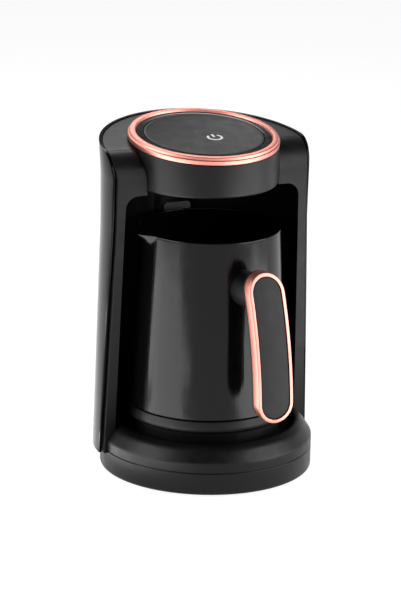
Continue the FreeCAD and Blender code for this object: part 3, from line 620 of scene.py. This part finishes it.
def refined(node: str, finish: Finish, body: Body) -> None:
    """Puts a merged, smooth-shaded copy of a solid in its place.

    Args:
        node: The solid.
        finish: Its finish.
        body: The body that it rides on.
    """
    piece = bpy.data.objects.new(node + ".fine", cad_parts[node].data.copy())
    bpy.context.scene.collection.objects.link(piece)
    edit(piece)
    bpy.ops.mesh.remove_doubles(threshold=2e-6)
    close()
    finish_piece(piece, finish, body, node)


# Sub-assemblies

@dataclass
class Base:
    """The round base: a lower ring and an upper moulding with a sloping lip round the pot's seat."""

    radius: float = 80.0
    foot: float = 1.2
    seam: float = 18.2
    groove: float = 0.45
    wall: float = 2.6
    band: float = 26.0
    lip_radius: float = 70.0
    lip: float = 37.0
    recess_radius: float = 62.0
    recess: float = 32.5
    seat_hole: float = 50.5
    inlet_height: float = 8.2

    def lower_ring(self) -> None:
        """Turns the lower ring with its rounded bottom edge and the hole for the cord's grommet."""
        inner = self.radius - self.wall
        step = self.foot + 2.4
        ring = turned("base_lower_ring.fine", [
            (inner, self.foot), (self.radius, self.foot, 2.4), (self.radius, self.seam - self.groove),
            (self.radius - self.groove, self.seam), (inner, self.seam), (inner, step + 2.0),
            (inner - 5.0, step + 2.0), (inner - 5.0, step), (inner, step),
        ])
        hole = rod("inlet", Vector((0, self.radius - 12, self.inlet_height)),
                   Vector((0, self.radius + 8, self.inlet_height)), 4.3)
        carve(ring, Cut.AWAY, hole)
        finish_piece(ring, SATIN_ABS, Body.MACHINE, "base_lower_ring")

    def profile(self) -> list[tuple[float, ...]]:
        """Gives the outside of the upper moulding, from the seam up and inwards.

        Returns:
            Corners of the outside.
        """
        return [
            (self.radius - self.groove, self.seam), (self.radius, self.seam + self.groove),
            (self.radius, self.band, 4.0), (self.lip_radius + 3.4, self.lip - 1.2, 9.0),
            (self.lip_radius - 3.0, self.lip + 0.1, 3.0), (self.recess_radius, self.recess, 2.0),
        ]

    def upper(self) -> None:
        """Turns the upper moulding: a short wall, a sloping shoulder, a lip and the recess."""
        under = self.recess - self.wall
        piece = turned("base_top.fine", self.profile() + [
            (self.seat_hole, self.recess, 0.5), (self.seat_hole, under),
            (self.recess_radius - 1.0, under), (self.lip_radius - 3.4, self.lip - self.wall),
            (self.lip_radius + 2.0, self.lip - 1.2 - self.wall), (self.radius - self.wall, self.band - 0.8),
            (self.radius - self.wall, self.seam),
        ])
        finish_piece(piece, SATIN_ABS, Body.MACHINE, "base_top")

    def build(self) -> None:
        """Builds the base."""
        self.lower_ring()
        self.upper()


@dataclass
class Column:
    """The C-shaped column: a satin frame round the pot's bay, and a polished shell at its back."""

    sections: tuple[tuple[float, float, float], ...] = (
        (16.4, 0.0, 85.6), (103.0, 2.7, 82.6), (188.0, 5.2, 79.7), (227.0, 5.8, 79.8), (265.0, 6.6, 81.8))
    shell_wall: float = 2.0
    shell_gap: float = 0.7
    shell_setback: float = 3.0
    shell_proud: float = 0.8
    front_y: float = -5.5
    front_z: float = 218.0
    lean: float = 1.85
    tilt: float = 6.9
    head_y: float = 14.0
    head_z: float = 254.0
    shoulder_drop: float = 7.5
    shoulder_round: float = 24.0
    bay_y: float = -4.0
    bay_low: float = 74.4
    bay_high: float = 69.6
    bay_top: float = 214.5
    bay_round: float = 9.5
    bay_back: float = 63.5
    drum_socket: float = 56.5
    cover_seam: float = 12.0
    cover_wall: float = 2.4
    screw_height: float = 37.0
    screw_side: float = 26.0
    screw_bore: float = 1.8
    screw_head: float = 5.0
    reach: float = 120.0
    base: Base = field(default_factory=Base)

    def form(self, name: str, inset: float) -> bpy.types.Object:
        """Raises the oblique round form of the column, section by section.

        Args:
            name: Name of the piece.
            inset: How far it is drawn in.

        Returns:
            The form.
        """
        deselect_all()
        height, centre, radius = self.sections[0]
        bpy.ops.mesh.primitive_circle_add(vertices=192, radius=(radius - inset) * MM, fill_type="NGON",
                                          location=(0, centre * MM, height * MM))
        piece = bpy.context.object
        piece.name = piece.data.name = name
        settle(piece)
        edit(piece)
        for below, above in zip(self.sections, self.sections[1:]):
            shift = Vector((0, above[1] - below[1], above[0] - below[0])) * MM
            bpy.ops.mesh.extrude_region_move(TRANSFORM_OT_translate={"value": shift})
            share = (above[2] - inset) / (below[2] - inset)
            hub = Vector((0, above[1], above[0])) * MM
            bpy.ops.transform.resize(value=(share, share, 1), center_override=hub)
        bpy.ops.mesh.select_all(action="SELECT")
        bpy.ops.mesh.normals_make_consistent(inside=False)
        close()
        return piece

    def side_block(self, setback: float, raised: float, low: float = 8.0) -> bpy.types.Object:
        """Makes everything behind the leaning front and under the sloping shoulder.

        Args:
            setback: How far the front is set back.
            raised: How far the shoulder is raised.
            low: Height of the underside.

        Returns:
            The block.
        """
        lean, slope = math.tan(math.radians(self.lean)), math.tan(math.radians(self.tilt))
        y_at_0 = self.front_y + self.front_z * lean + setback
        z_at_0 = self.head_z - self.shoulder_drop - self.head_y * slope + raised
        corner_y = (y_at_0 - lean * z_at_0) / (1 + lean * slope)
        corner_z = z_at_0 + slope * corner_y
        points = rounded([
            (y_at_0 - lean * low, low), (corner_y, corner_z, self.shoulder_round - setback),
            (self.reach, z_at_0 + slope * self.reach), (self.reach, low),
        ], steps=12)
        outline = [Vector((-self.reach, u, v)) for u, v in points]
        return prism("block", outline, Vector((2 * self.reach, 0, 0)))

    def bay(self) -> bpy.types.Object:
        """Turns the bay that the pot stands in, with its flat back.

        Returns:
            The bay as a solid.
        """
        taper = (self.bay_low - self.bay_high) / (self.bay_top - self.base.seam)
        space = turned("bay", [
            (0, 0), (self.bay_low + taper * self.base.seam, 0), (self.bay_high, self.bay_top, self.bay_round),
            (0, self.bay_top),
        ], self.bay_y)
        edit(space)
        bpy.ops.mesh.bisect(plane_co=(0, self.bay_back * MM, 0), plane_no=(0, 1, 0),
                            use_fill=True, clear_outer=True)
        close()
        return space

    def socket(self) -> bpy.types.Object:
        """Makes the round opening that the head's drum stands in.

        Returns:
            The opening as a solid.
        """
        deselect_all()
        bpy.ops.mesh.primitive_cylinder_add(vertices=192, radius=self.drum_socket * MM, depth=90 * MM,
                                            location=(0, self.head_y * MM, (self.bay_top - 1 + 45) * MM))
        piece = bpy.context.object
        settle(piece)
        return piece

    def frame(self) -> None:
        """Carves the satin frame: legs, back wall and roof round the bay."""
        piece = self.form("column_frame.fine", self.shell_wall + self.shell_gap)
        carve(piece, Cut.SHARED, self.side_block(0, 0))
        carve(piece, Cut.AWAY, turned("base", [(0, 0)] + self.base.profile() + [(0, self.base.recess)]))
        carve(piece, Cut.AWAY, self.bay())
        carve(piece, Cut.AWAY, self.socket())
        carve(piece, Cut.AWAY, self.cover_zone(0.25))
        finish_piece(piece, SATIN_ABS, Body.MACHINE, "column_frame")

    def cover_zone(self, room: float) -> bpy.types.Object:
        """Makes the space of the shoulder's cover.

        Args:
            room: Extra room in front of it, for the seam.

        Returns:
            The space as a solid.
        """
        slope = math.tan(math.radians(self.tilt))
        top = self.head_z - self.shoulder_drop - self.head_y * slope
        low = top - self.cover_wall
        start = self.cover_seam - room
        points = [Vector((-self.reach, y, z)) for y, z in (
            (start, low + slope * start), (start, top + 3 + slope * start),
            (self.reach, top + 3 + slope * self.reach), (self.reach, low + slope * self.reach))]
        return prism("cover_zone", points, Vector((2 * self.reach, 0, 0)))

    def cover(self) -> None:
        """Makes the shoulder's cover plate round the drum."""
        piece = self.form("top_cover.fine", self.shell_wall + self.shell_gap)
        carve(piece, Cut.SHARED, self.side_block(0, 0))
        carve(piece, Cut.SHARED, self.cover_zone(0))
        carve(piece, Cut.AWAY, self.socket())
        finish_piece(piece, SATIN_ABS, Body.MACHINE, "top_cover")

    def shell(self) -> None:
        """Makes the polished shell that wraps the back and sides."""
        piece = self.form("back_shell.fine", 0.0)
        carve(piece, Cut.AWAY, self.form("inside", self.shell_wall))
        carve(piece, Cut.SHARED, self.side_block(self.shell_setback, self.shell_proud))
        soften(piece, 0.8, 3, 50.0)
        for side in (-self.screw_side, self.screw_side):
            low, high = self.sections[0], self.sections[1]
            share = (self.screw_height - low[0]) / (high[0] - low[0])
            centre = low[1] + share * (high[1] - low[1])
            radius = low[2] + share * (high[2] - low[2])
            y = centre + math.sqrt(radius ** 2 - side ** 2)
            place = Vector((side, y - 0.4, self.screw_height))
            out = Vector((side, y - centre, 0)).normalized()
            carve(piece, Cut.AWAY, rod("bore", place - out * 4, place + out * 3, self.screw_bore))
            carve(piece, Cut.AWAY, rod("countersink", place - out * 1.6, place + out * 1.6,
                                       self.screw_bore, self.screw_head))
        # The shell's polished ABS is darkened as painted shade.
        finish_piece(piece, SHELL_ABS_PAINTED_SHADE, Body.MACHINE, "back_shell")

    def build(self) -> None:
        """Builds the column."""
        self.frame()
        self.cover()
        self.shell()


@dataclass
class Head:
    """The head: an upright drum, a rose-gold ring on its sloping top, a bezel and the push button."""

    y: float = 14.0
    z: float = 254.0
    tilt: float = 6.9
    drum_radius: float = 56.2
    drum_wall: float = 2.4
    drum_low: float = 216.5
    ring_radius: float = 56.8
    ring_inner: float = 51.0
    ring_height: float = 5.8
    flange: float = 1.6
    bezel_wall: float = 1.9
    button_radius: float = 45.2
    button_gap: float = 0.45
    button_top: float = -1.3
    button_wall: float = 2.2
    well: float = 8.6
    stem: float = 4.0
    stem_tip: float = -12.5

    def seat(self) -> Matrix:
        """Gives the move from the ring's own plane to its place on the drum.

        Returns:
            The move, in metres.
        """
        lean = Matrix.Rotation(math.radians(self.tilt), 4, "X")
        return Matrix.Translation((0, self.y * MM, self.z * MM)) @ lean

    def drum(self) -> None:
        """Turns the drum and cuts its top along the sloping plane under the ring."""
        inner = self.drum_radius - self.drum_wall
        piece = turned("head_drum.fine", [
            (inner, self.drum_low + self.drum_wall), (inner - 4, self.drum_low + self.drum_wall),
            (inner - 4, self.drum_low, 0.5), (self.drum_radius, self.drum_low, 2.5),
            (self.drum_radius, self.z + 10), (inner, self.z + 10),
        ], self.y)
        edit(piece)
        plane = self.seat() @ Vector((0, 0, -self.ring_height * MM))
        bpy.ops.mesh.bisect(plane_co=plane, plane_no=self.seat().to_3x3() @ Vector((0, 0, 1)),
                            use_fill=True, clear_outer=True)
        close()
        finish_piece(piece, SATIN_ABS, Body.MACHINE, "head_drum")

    def ring(self) -> None:
        """Turns the rose-gold ring with its bright upper bevel."""
        r = self.ring_radius
        inner = r - 1.7
        piece = turned("trim_ring.fine", [
            (inner, -self.ring_height), (r - 0.2, -self.ring_height, 0.4), (r, -self.flange - 0.9, 0.5),
            (r - 1.0, -self.flange - 0.4, 0.3), (r - 1.5, 0, 0.9), (self.ring_inner + 0.5, 0, 0.5),
            (self.ring_inner, -self.flange), (inner, -self.flange),
        ])
        settle(piece, self.seat())
        finish_piece(piece, ROSE_ALUMINIUM, Body.MACHINE, "trim_ring")

    def bezel(self) -> None:
        """Turns the bezel, a shallow dish whose well holds the button."""
        outer = self.ring_radius - 1.9
        well = self.button_radius + self.button_gap
        floor = -self.well
        piece = turned("top_bezel.fine", [
            (outer, -self.ring_height), (outer, -self.flange), (well, -self.flange, 0.7), (well, floor),
            (self.stem + 0.3, floor), (self.stem + 0.3, floor - 4.0), (self.stem + 3.0, floor - 4.0),
            (self.stem + 3.0, floor - self.bezel_wall), (well + self.bezel_wall, floor - self.bezel_wall),
            (well + self.bezel_wall, -self.flange - self.bezel_wall),
            (outer - self.bezel_wall, -self.flange - self.bezel_wall),
            (outer - self.bezel_wall, -self.ring_height),
        ])
        settle(piece, self.seat())
        finish_piece(piece, GLOSS_ABS, Body.MACHINE, "top_bezel")

    def button(self) -> None:
        """Turns the push button, a slightly dished disc with a rounded rim, a skirt and a stem."""
        r, top = self.button_radius, self.button_top
        under = top - self.button_wall
        piece = turned("power_button.fine", [
            (0, top - 0.35), (r - 3.0, top - 0.35), (r - 2.2, top, 0.6), (r, top, 0.9),
            (r, under - 2.6), (r - 2.0, under - 2.6), (r - 2.0, under), (self.stem, under),
            (self.stem, self.stem_tip, 0.4), (0, self.stem_tip),
        ])
        settle(piece, self.seat())
        finish_piece(piece, MATTE_ABS, Body.BUTTON, "power_button")

    def symbol(self) -> None:
        """Lays the white power sign on the button: an open ring and a bar through the gap."""
        height, stroke, radius, forward, side = self.button_top - 0.35, 1.8, 4.3, 7.8, 5.4
        deselect_all()
        bpy.ops.mesh.primitive_circle_add(vertices=72, radius=radius * MM, fill_type="NOTHING")
        ring = bpy.context.object
        ring.name = ring.data.name = "power_symbol"
        edit(ring)
        pick(ring, Element.VERT, lambda spot: spot.y > 0 and abs(spot.x) < radius * 0.62)
        bpy.ops.mesh.delete(type="VERT")
        bpy.ops.mesh.select_all(action="SELECT")
        bpy.ops.mesh.extrude_region_move()
        bpy.ops.transform.resize(value=((radius + stroke) / radius,) * 3, center_override=(0, 0, 0))
        close()
        bpy.ops.mesh.primitive_plane_add(size=MM, location=(0, radius * 0.85 * MM, 0))
        bar = bpy.context.object
        bar.scale = (stroke, radius * 1.25, 1)
        take(bar)
        ring.select_set(True)
        bpy.context.view_layer.objects.active = ring
        bpy.ops.object.join()
        edit(ring)
        bpy.ops.mesh.extrude_region_move(TRANSFORM_OT_translate={"value": (0, 0, 0.06 * MM)})
        bpy.ops.mesh.select_all(action="SELECT")
        bpy.ops.mesh.normals_make_consistent(inside=False)
        close()
        settle(ring, self.seat() @ Matrix.Translation(Vector((side, -forward, height + 0.01)) * MM))
        finish_piece(ring, WHITE_INK, Body.BUTTON)

    def build(self) -> None:
        """Builds the head."""
        self.drum()
        self.ring()
        self.bezel()
        self.button()
        self.symbol()


@dataclass
class Pot:
    """The pot: a tapered vessel with a pouring lip at the left, on a dark collar."""

    turn: float = 6.0
    low_radius: float = 59.2
    rim_radius: float = 53.1
    rim: float = 186.0
    wall: float = 1.0
    collar_radius: float = 60.4
    collar_top_radius: float = 59.6
    collar_top: float = 51.4
    rest: float = 41.8
    seam: float = 0.3
    lip_reach: float = 8.0
    lip_height: float = 11.0
    lip_half: float = 10.5

    def placed(self) -> Matrix:
        """Gives the pot's small turn about its own axis.

        Returns:
            The turn.
        """
        return Matrix.Rotation(math.radians(self.turn), 4, "Z")

    def radius_at(self, height: float) -> float:
        """Gives the wall's outer radius at a height.

        Args:
            height: Height in millimetres.

        Returns:
            The radius.
        """
        share = (height - self.collar_top) / (self.rim - self.collar_top)
        return self.low_radius + share * (self.rim_radius - self.low_radius)

    def vessel(self) -> None:
        """Turns the vessel and pulls the pouring lip out of its rim."""
        low = self.collar_top + self.seam
        heights = [low + (self.rim - low) * (1 - (1 - i / 28) ** 1.6) for i in range(29)]
        outer = [(self.radius_at(z), z) for z in heights]
        half = self.wall / 2
        bead = [(self.rim_radius - half + half * math.cos(a), self.rim + half * math.sin(a) - half)
                for a in (math.radians(d) for d in (30, 60, 90, 120, 150))]
        inner = [(self.radius_at(z) - self.wall, z) for z in reversed(heights) if z > low + self.wall]
        outer[-1] = (outer[-1][0], self.rim - half)
        inner[0] = (inner[0][0], self.rim - half)
        foot, floor, top = outer[0][0], inner[-1][0], low + self.wall
        profile = [(0.0, low), (foot - 1.5, low), (foot, low + 0.8)] + outer[1:] + bead + inner
        profile += [(floor - 1.2, top + 0.6), (floor - 5.0, top), (0.0, top)]
        piece = turned("pot_body.fine", profile, steps=180)
        for vert in piece.data.vertices:
            self.pull(vert)
        settle(piece, self.placed())
        finish_piece(piece, POT_ENAMEL, Body.POT, "pot_body", smooth=50)

    def pull(self, vert: bpy.types.MeshVertex) -> None:
        """Moves a vertex of the rim outwards where the pouring lip is.

        Args:
            vert: A vertex of the vessel.
        """
        x, y, z = vert.co / MM
        rise = (z - (self.rim - self.lip_height)) / self.lip_height
        if rise <= 0 or x > -20:
            return
        spread = self.lip_half * (0.35 + 0.65 * rise)
        across = min(abs(y) / spread, 1.0)
        ridge = (1 - across) ** 1.25 * (1 + 0.25 * across)
        reach = self.lip_reach * rise ** 1.3 * ridge
        vert.co.x -= reach * MM

    def collar(self) -> None:
        """Turns the collar round the pot's heated bottom."""
        r, low = self.collar_radius, self.rest
        inner = r - 3.4
        piece = turned("pot_collar.fine", [
            (inner - 1.2, low), (r - 0.5, low, 2.6), (r, low + 4.0, 4.0),
            (self.collar_top_radius, self.collar_top, 0.7), (inner, self.collar_top), (inner, low + 2.4),
            (inner - 1.2, low + 2.4),
        ])
        settle(piece, self.placed())
        finish_piece(piece, SATIN_ABS, Body.POT, "pot_collar")

    def build(self) -> None:
        """Builds the pot."""
        self.vessel()
        self.collar()


@dataclass
class Handle:
    """The handle: a bowed upright grip in a rose-gold rim, on a dark back."""

    turn: float = 6.0
    bow_radius: float = 296.0
    front: float = 101.9
    bow_z: float = 57.0
    top: float = 169.6
    low: float = 61.5
    half: float = 14.6
    band: float = 2.5
    depth: float = 8.0
    back: float = 3.5
    sunk: float = 0.5
    boss_radius: float = 13.0
    boss_z: float = 151.3
    stud_end: float = 65.1
    pot: Pot = field(default_factory=Pot)

    def outline(self, inset: float, y: float) -> list[Vector]:
        """Gives the handle's outline, straight sides and round ends, with points all along it.

        Args:
            inset: How far it is drawn in.
            y: Where it lies.

        Returns:
            Points of the outline.
        """
        half = self.half - inset
        low, high = self.low + self.half, self.top - self.half
        points = []
        for i in range(25):
            angle = math.pi * i / 24
            points.append(Vector((half * math.cos(angle), y, high + half * math.sin(angle))))
        count = 24
        for i in range(1, count):
            points.append(Vector((-half, y, high + (low - high) * i / count)))
        for i in range(25):
            angle = math.pi + math.pi * i / 24
            points.append(Vector((half * math.cos(angle), y, low + half * math.sin(angle))))
        for i in range(1, count):
            points.append(Vector((half, y, low + (high - low) * i / count)))
        return points

    def face(self, height: float) -> float:
        """Gives how far in front of the pot's axis the handle's face lies at a height.

        Args:
            height: Height in millimetres.

        Returns:
            The distance from the axis.
        """
        return math.sqrt(self.bow_radius ** 2 - (height - self.bow_z) ** 2) - (self.bow_radius - self.front)

    def bowed(self, piece: bpy.types.Object) -> None:
        """Cuts a flat piece into level strips and lays it on the handle's bow.

        Args:
            piece: A piece drawn flat, with y counted backwards from the handle's face.
        """
        for i in range(1, 44):
            level = self.low + (self.top - self.low) * i / 44
            edit(piece)
            bpy.ops.mesh.bisect(plane_co=(0, 0, level * MM), plane_no=(0, 0, 1))
        close()
        for vert in piece.data.vertices:
            vert.co.y -= self.face(vert.co.z / MM) * MM
        settle(piece, Matrix.Rotation(math.radians(self.turn), 4, "Z"))

    def rim(self) -> None:
        """Makes the rose-gold rim with rounded edges."""
        piece = prism("handle_trim.fine", self.outline(0, 0), Vector((0, self.depth, 0)))
        soften(piece, 0.6, 3)
        carve(piece, Cut.AWAY, prism("inside", self.outline(self.band, -1), Vector((0, self.depth + 2, 0))))
        self.bowed(piece)
        finish_piece(piece, ROSE_ALUMINIUM, Body.POT, "handle_trim")

    def grip(self) -> None:
        """Makes the grip, softly rounded at its edge and a little crowned."""
        outline = self.outline(self.band + 0.1, self.sunk)
        piece = prism("handle_grip.fine", outline, Vector((0, self.depth - self.sunk, 0)))
        soften(piece, 1.2, 4)
        self.bowed(piece)
        finish_piece(piece, MATTE_ABS, Body.POT, "handle_grip")

    def backing(self) -> None:
        """Makes the back of the handle with rounded edges for the fingers."""
        piece = prism("handle_back.fine", self.outline(0.6, self.depth), Vector((0, self.back, 0)))
        soften(piece, 1.4, 4)
        self.bowed(piece)
        finish_piece(piece, MATTE_ABS, Body.POT, "handle_back")

    def boss(self) -> None:
        """Draws the round boss between the pot's wall and the handle's back, with its bore."""
        deselect_all()
        bpy.ops.mesh.primitive_cylinder_add(vertices=96, radius=self.boss_radius * MM, depth=MM,
                                            location=(0, 0, self.boss_z * MM), rotation=(math.pi / 2, 0, 0))
        piece = bpy.context.object
        piece.name = piece.data.name = "handle_boss.fine"
        settle(piece)
        soften(piece, 0.18, 4)
        for vert in piece.data.vertices:
            x, y, z = vert.co / MM
            near = -math.sqrt(self.pot.radius_at(z) ** 2 - x ** 2)
            far = -(self.face(z) - self.depth - self.back)
            vert.co.y = (near + (0.5 - y) * (far - near)) * MM
        start = Vector((0, -40, self.boss_z))
        for name, end, radius in (("stud_room", self.stud_end + 1, 4.0), ("bore", self.front, 2.2)):
            carve(piece, Cut.AWAY, rod(name, start, Vector((0, -end, self.boss_z)), radius))
        settle(piece, Matrix.Rotation(math.radians(self.turn), 4, "Z"))
        finish_piece(piece, SATIN_ABS, Body.POT, "handle_boss")

    def build(self) -> None:
        """Builds the handle."""
        self.rim()
        self.grip()
        self.backing()
        self.boss()


class Workings:
    """The solids that keep their CAD shape, each in its real finish, except the pot's seat, whose finish is
    darkened as painted shade.
    """

    machine: tuple[tuple[str, Finish], ...] = (
        ("base_plate", SATIN_ABS), ("foot_ring", RUBBER), ("base_screws", ZINC_STEEL),
        # pot_seat gets the seat ABS made darker and duller as painted shade under the pot.
        ("pot_seat", SEAT_ABS_PAINTED_SHADE), ("contact_socket", GLOSS_ABS), ("contact_pins", BRASS),
        ("power_board", BOARD_LAMINATE), ("board_screws", ZINC_STEEL), ("power_relay", GLOSS_ABS),
        ("capacitors", GLOSS_ABS), ("terminal_block", NYLON), ("board_connector", NYLON),
        ("cord_grommet", RUBBER), ("skin_screws", ZINC_STEEL), ("column_screws", ZINC_STEEL),
        ("sensor_window", SMOKED_PC), ("sensor_board", BOARD_LAMINATE), ("drum_screws", ZINC_STEEL),
        ("head_underside", SATIN_ABS), ("button_spring", ZINC_STEEL), ("control_board", BOARD_LAMINATE),
        ("control_screws", ZINC_STEEL), ("tact_switch", GLOSS_ABS), ("buzzer", GLOSS_ABS),
        ("head_connector", NYLON), ("wire_harness", WIRE_SLEEVE),
    )
    pot: tuple[tuple[str, Finish], ...] = (
        ("pot_bottom_cover", SATIN_ABS), ("pot_screws", ZINC_STEEL), ("contact_disc", NYLON),
        ("contact_rings", BRASS), ("heater_plate", CAST_ALUMINIUM), ("thermostat", CAST_ALUMINIUM),
        ("handle_stud", ZINC_STEEL), ("handle_screw", ZINC_STEEL),
    )

    def build(self) -> None:
        """Dresses every part."""
        for body, parts in ((Body.MACHINE, self.machine), (Body.POT, self.pot)):
            for node, finish in parts:
                refined(node, finish, body)


@dataclass
class Studio:
    """A white floor and backdrop, soft boxes at both sides, above and along the floor, and the camera."""

    azimuth: float = 0.418
    elevation: float = 0.283
    roll: float = math.radians(1.16)
    place: tuple[float, float, float] = (-882.1, -1971.4, 755.7)
    focal_pixels: float = 3000.0
    frame_height: int = 601
    room_radius: float = 5.0
    wall_height: float = 1.8
    world_strength: float = 0.12
    lamps: tuple[tuple, ...] = (
        ("left_box", (-0.95, 0.05, 0.55), (0, 0.05, 0.15), (0.75, 0.9), 8),
        ("right_box", (0.72, -0.6, 0.5), (0, 0, 0.12), (0.95, 0.9), 10),
        ("top_box", (0.1, 0.9, 1.2), (0, 0, 0.15), (0.9, 0.7), 8),
        ("left_far_panel", (-0.62, 0.03, 0.004), (-0.62, 0.03, 1.0), (0.64, 0.7), 4.4),
        ("left_near_panel", (-0.2, -0.05, 0.004), (-0.2, -0.05, 1.0), (0.2, 0.24), 0.5),
        ("right_floor_panel", (0.41, -0.38, 0.004), (0.41, -0.38, 1.0), (0.64, 0.46), 3.2),
    )

    def camera(self) -> None:
        """Sets the camera at the photograph's viewing angle."""
        back = Vector((math.sin(-self.azimuth) * math.cos(self.elevation),
                       -math.cos(self.azimuth) * math.cos(self.elevation), math.sin(self.elevation)))
        level = Vector((math.cos(self.azimuth), math.sin(-self.azimuth), 0))
        upright = back.cross(level)
        right = level * math.cos(self.roll) + upright * math.sin(self.roll)
        up = upright * math.cos(self.roll) - level * math.sin(self.roll)
        lens = bpy.data.cameras.new("camera")
        lens.sensor_fit = "VERTICAL"
        lens.sensor_height = 36.0
        lens.lens = self.focal_pixels * lens.sensor_height / self.frame_height
        lens.clip_start, lens.clip_end = 0.1, 50.0
        camera = bpy.data.objects.new("camera", lens)
        turn = Matrix((right, up, back)).transposed().to_4x4()
        camera.matrix_world = Matrix.Translation(Vector(self.place) * MM) @ turn
        bpy.context.scene.collection.objects.link(camera)
        bpy.context.scene.camera = camera

    def lamp(self, name: str, place: Sequence[float], aim: Sequence[float], size: Sequence[float],
             power: float) -> None:
        """Hangs a soft box.

        Args:
            name: Name of the lamp.
            place: Its middle in metres.
            aim: Where it points.
            size: Width and height.
            power: Power in watts.
        """
        light = bpy.data.lights.new(name, "AREA")
        light.shape = "RECTANGLE"
        light.size, light.size_y = size
        light.energy = power
        lamp = bpy.data.objects.new(name, light)
        lamp.visible_camera = False
        lamp.location = place
        lamp.rotation_euler = (Vector(aim) - Vector(place)).to_track_quat("-Z", "Y").to_euler()
        bpy.context.scene.collection.objects.link(lamp)

    def stage_material(self, name: str, own: float, lit: float) -> bpy.types.Material:
        """Builds the white of floor and backdrop: mostly its own white, with the shadow kept.

        Args:
            name: Name of the material.
            own: White that the eye, gloss and glass see without any light.
            lit: Share of the lamps' light that it gives back.

        Returns:
            The material.
        """
        made = empty_material(name)
        tree = made.node_tree
        path = add_node(tree, "ShaderNodeLightPath")
        seen = add_node(tree, "ShaderNodeMath", {"operation": "ADD", "use_clamp": True},
                        {0: path.outputs["Is Camera Ray"], 1: path.outputs["Is Glossy Ray"]})
        seen = add_node(tree, "ShaderNodeMath", {"operation": "ADD", "use_clamp": True},
                        {0: seen.outputs[0], 1: path.outputs["Is Transmission Ray"]})
        level = add_node(tree, "ShaderNodeMath", {"operation": "MULTIPLY", 1: own}, {0: seen.outputs[0]})
        glow = add_node(tree, "ShaderNodeEmission", {"Color": linear("#ffffff")},
                        {"Strength": level.outputs[0]})
        matt = add_node(tree, "ShaderNodeBsdfDiffuse", {"Color": (lit, lit, lit, 1.0)})
        both = add_node(tree, "ShaderNodeAddShader", links={0: glow.outputs[0], 1: matt.outputs[0]})
        add_node(tree, "ShaderNodeOutputMaterial", links={"Surface": both.outputs[0]})
        return made

    def floor(self) -> None:
        """Lays the floor and raises the round wall that stands far off about it."""
        deselect_all()
        bpy.ops.mesh.primitive_circle_add(vertices=96, radius=self.room_radius, fill_type="NGON")
        ground = bpy.context.object
        ground.name = "floor"
        ground.data.materials.append(self.stage_material("white_floor", 0.90, 0.25))
        deselect_all()
        bpy.ops.mesh.primitive_circle_add(vertices=96, radius=self.room_radius, fill_type="NOTHING")
        wall = bpy.context.object
        wall.name = "backdrop"
        edit(wall)
        bpy.ops.mesh.extrude_region_move(TRANSFORM_OT_translate={"value": (0, 0, self.wall_height)})
        close()
        wall.data.materials.append(self.stage_material("white_backdrop", 1.0, 0.10))

    def world(self) -> None:
        """Fills the room with a plain dim light."""
        room = bpy.data.worlds.new("room")
        room.use_nodes = True
        tree = room.node_tree
        tree.nodes.clear()
        glow = add_node(tree, "ShaderNodeBackground",
                        {"Color": linear("#ffffff"), "Strength": self.world_strength})
        add_node(tree, "ShaderNodeOutputWorld", links={"Surface": glow.outputs[0]})
        bpy.context.scene.world = room

    def build(self) -> None:
        """Sets up the stage, the lamps and the camera."""
        self.floor()
        self.world()
        for values in self.lamps:
            self.lamp(*values)
        self.camera()
        bpy.context.scene.view_settings.view_transform = "Standard"


def main() -> None:
    """Builds every sub-assembly in order, then the studio."""
    logging.basicConfig(level=logging.INFO, format="%(name)s: %(message)s")
    for assembly in (Base(), Column(), Head(), Pot(), Handle(), Workings(), Studio()):
        assembly.build()
        LOG.info("%s done", type(assembly).__name__)


if __name__ == "__main__":
    main()
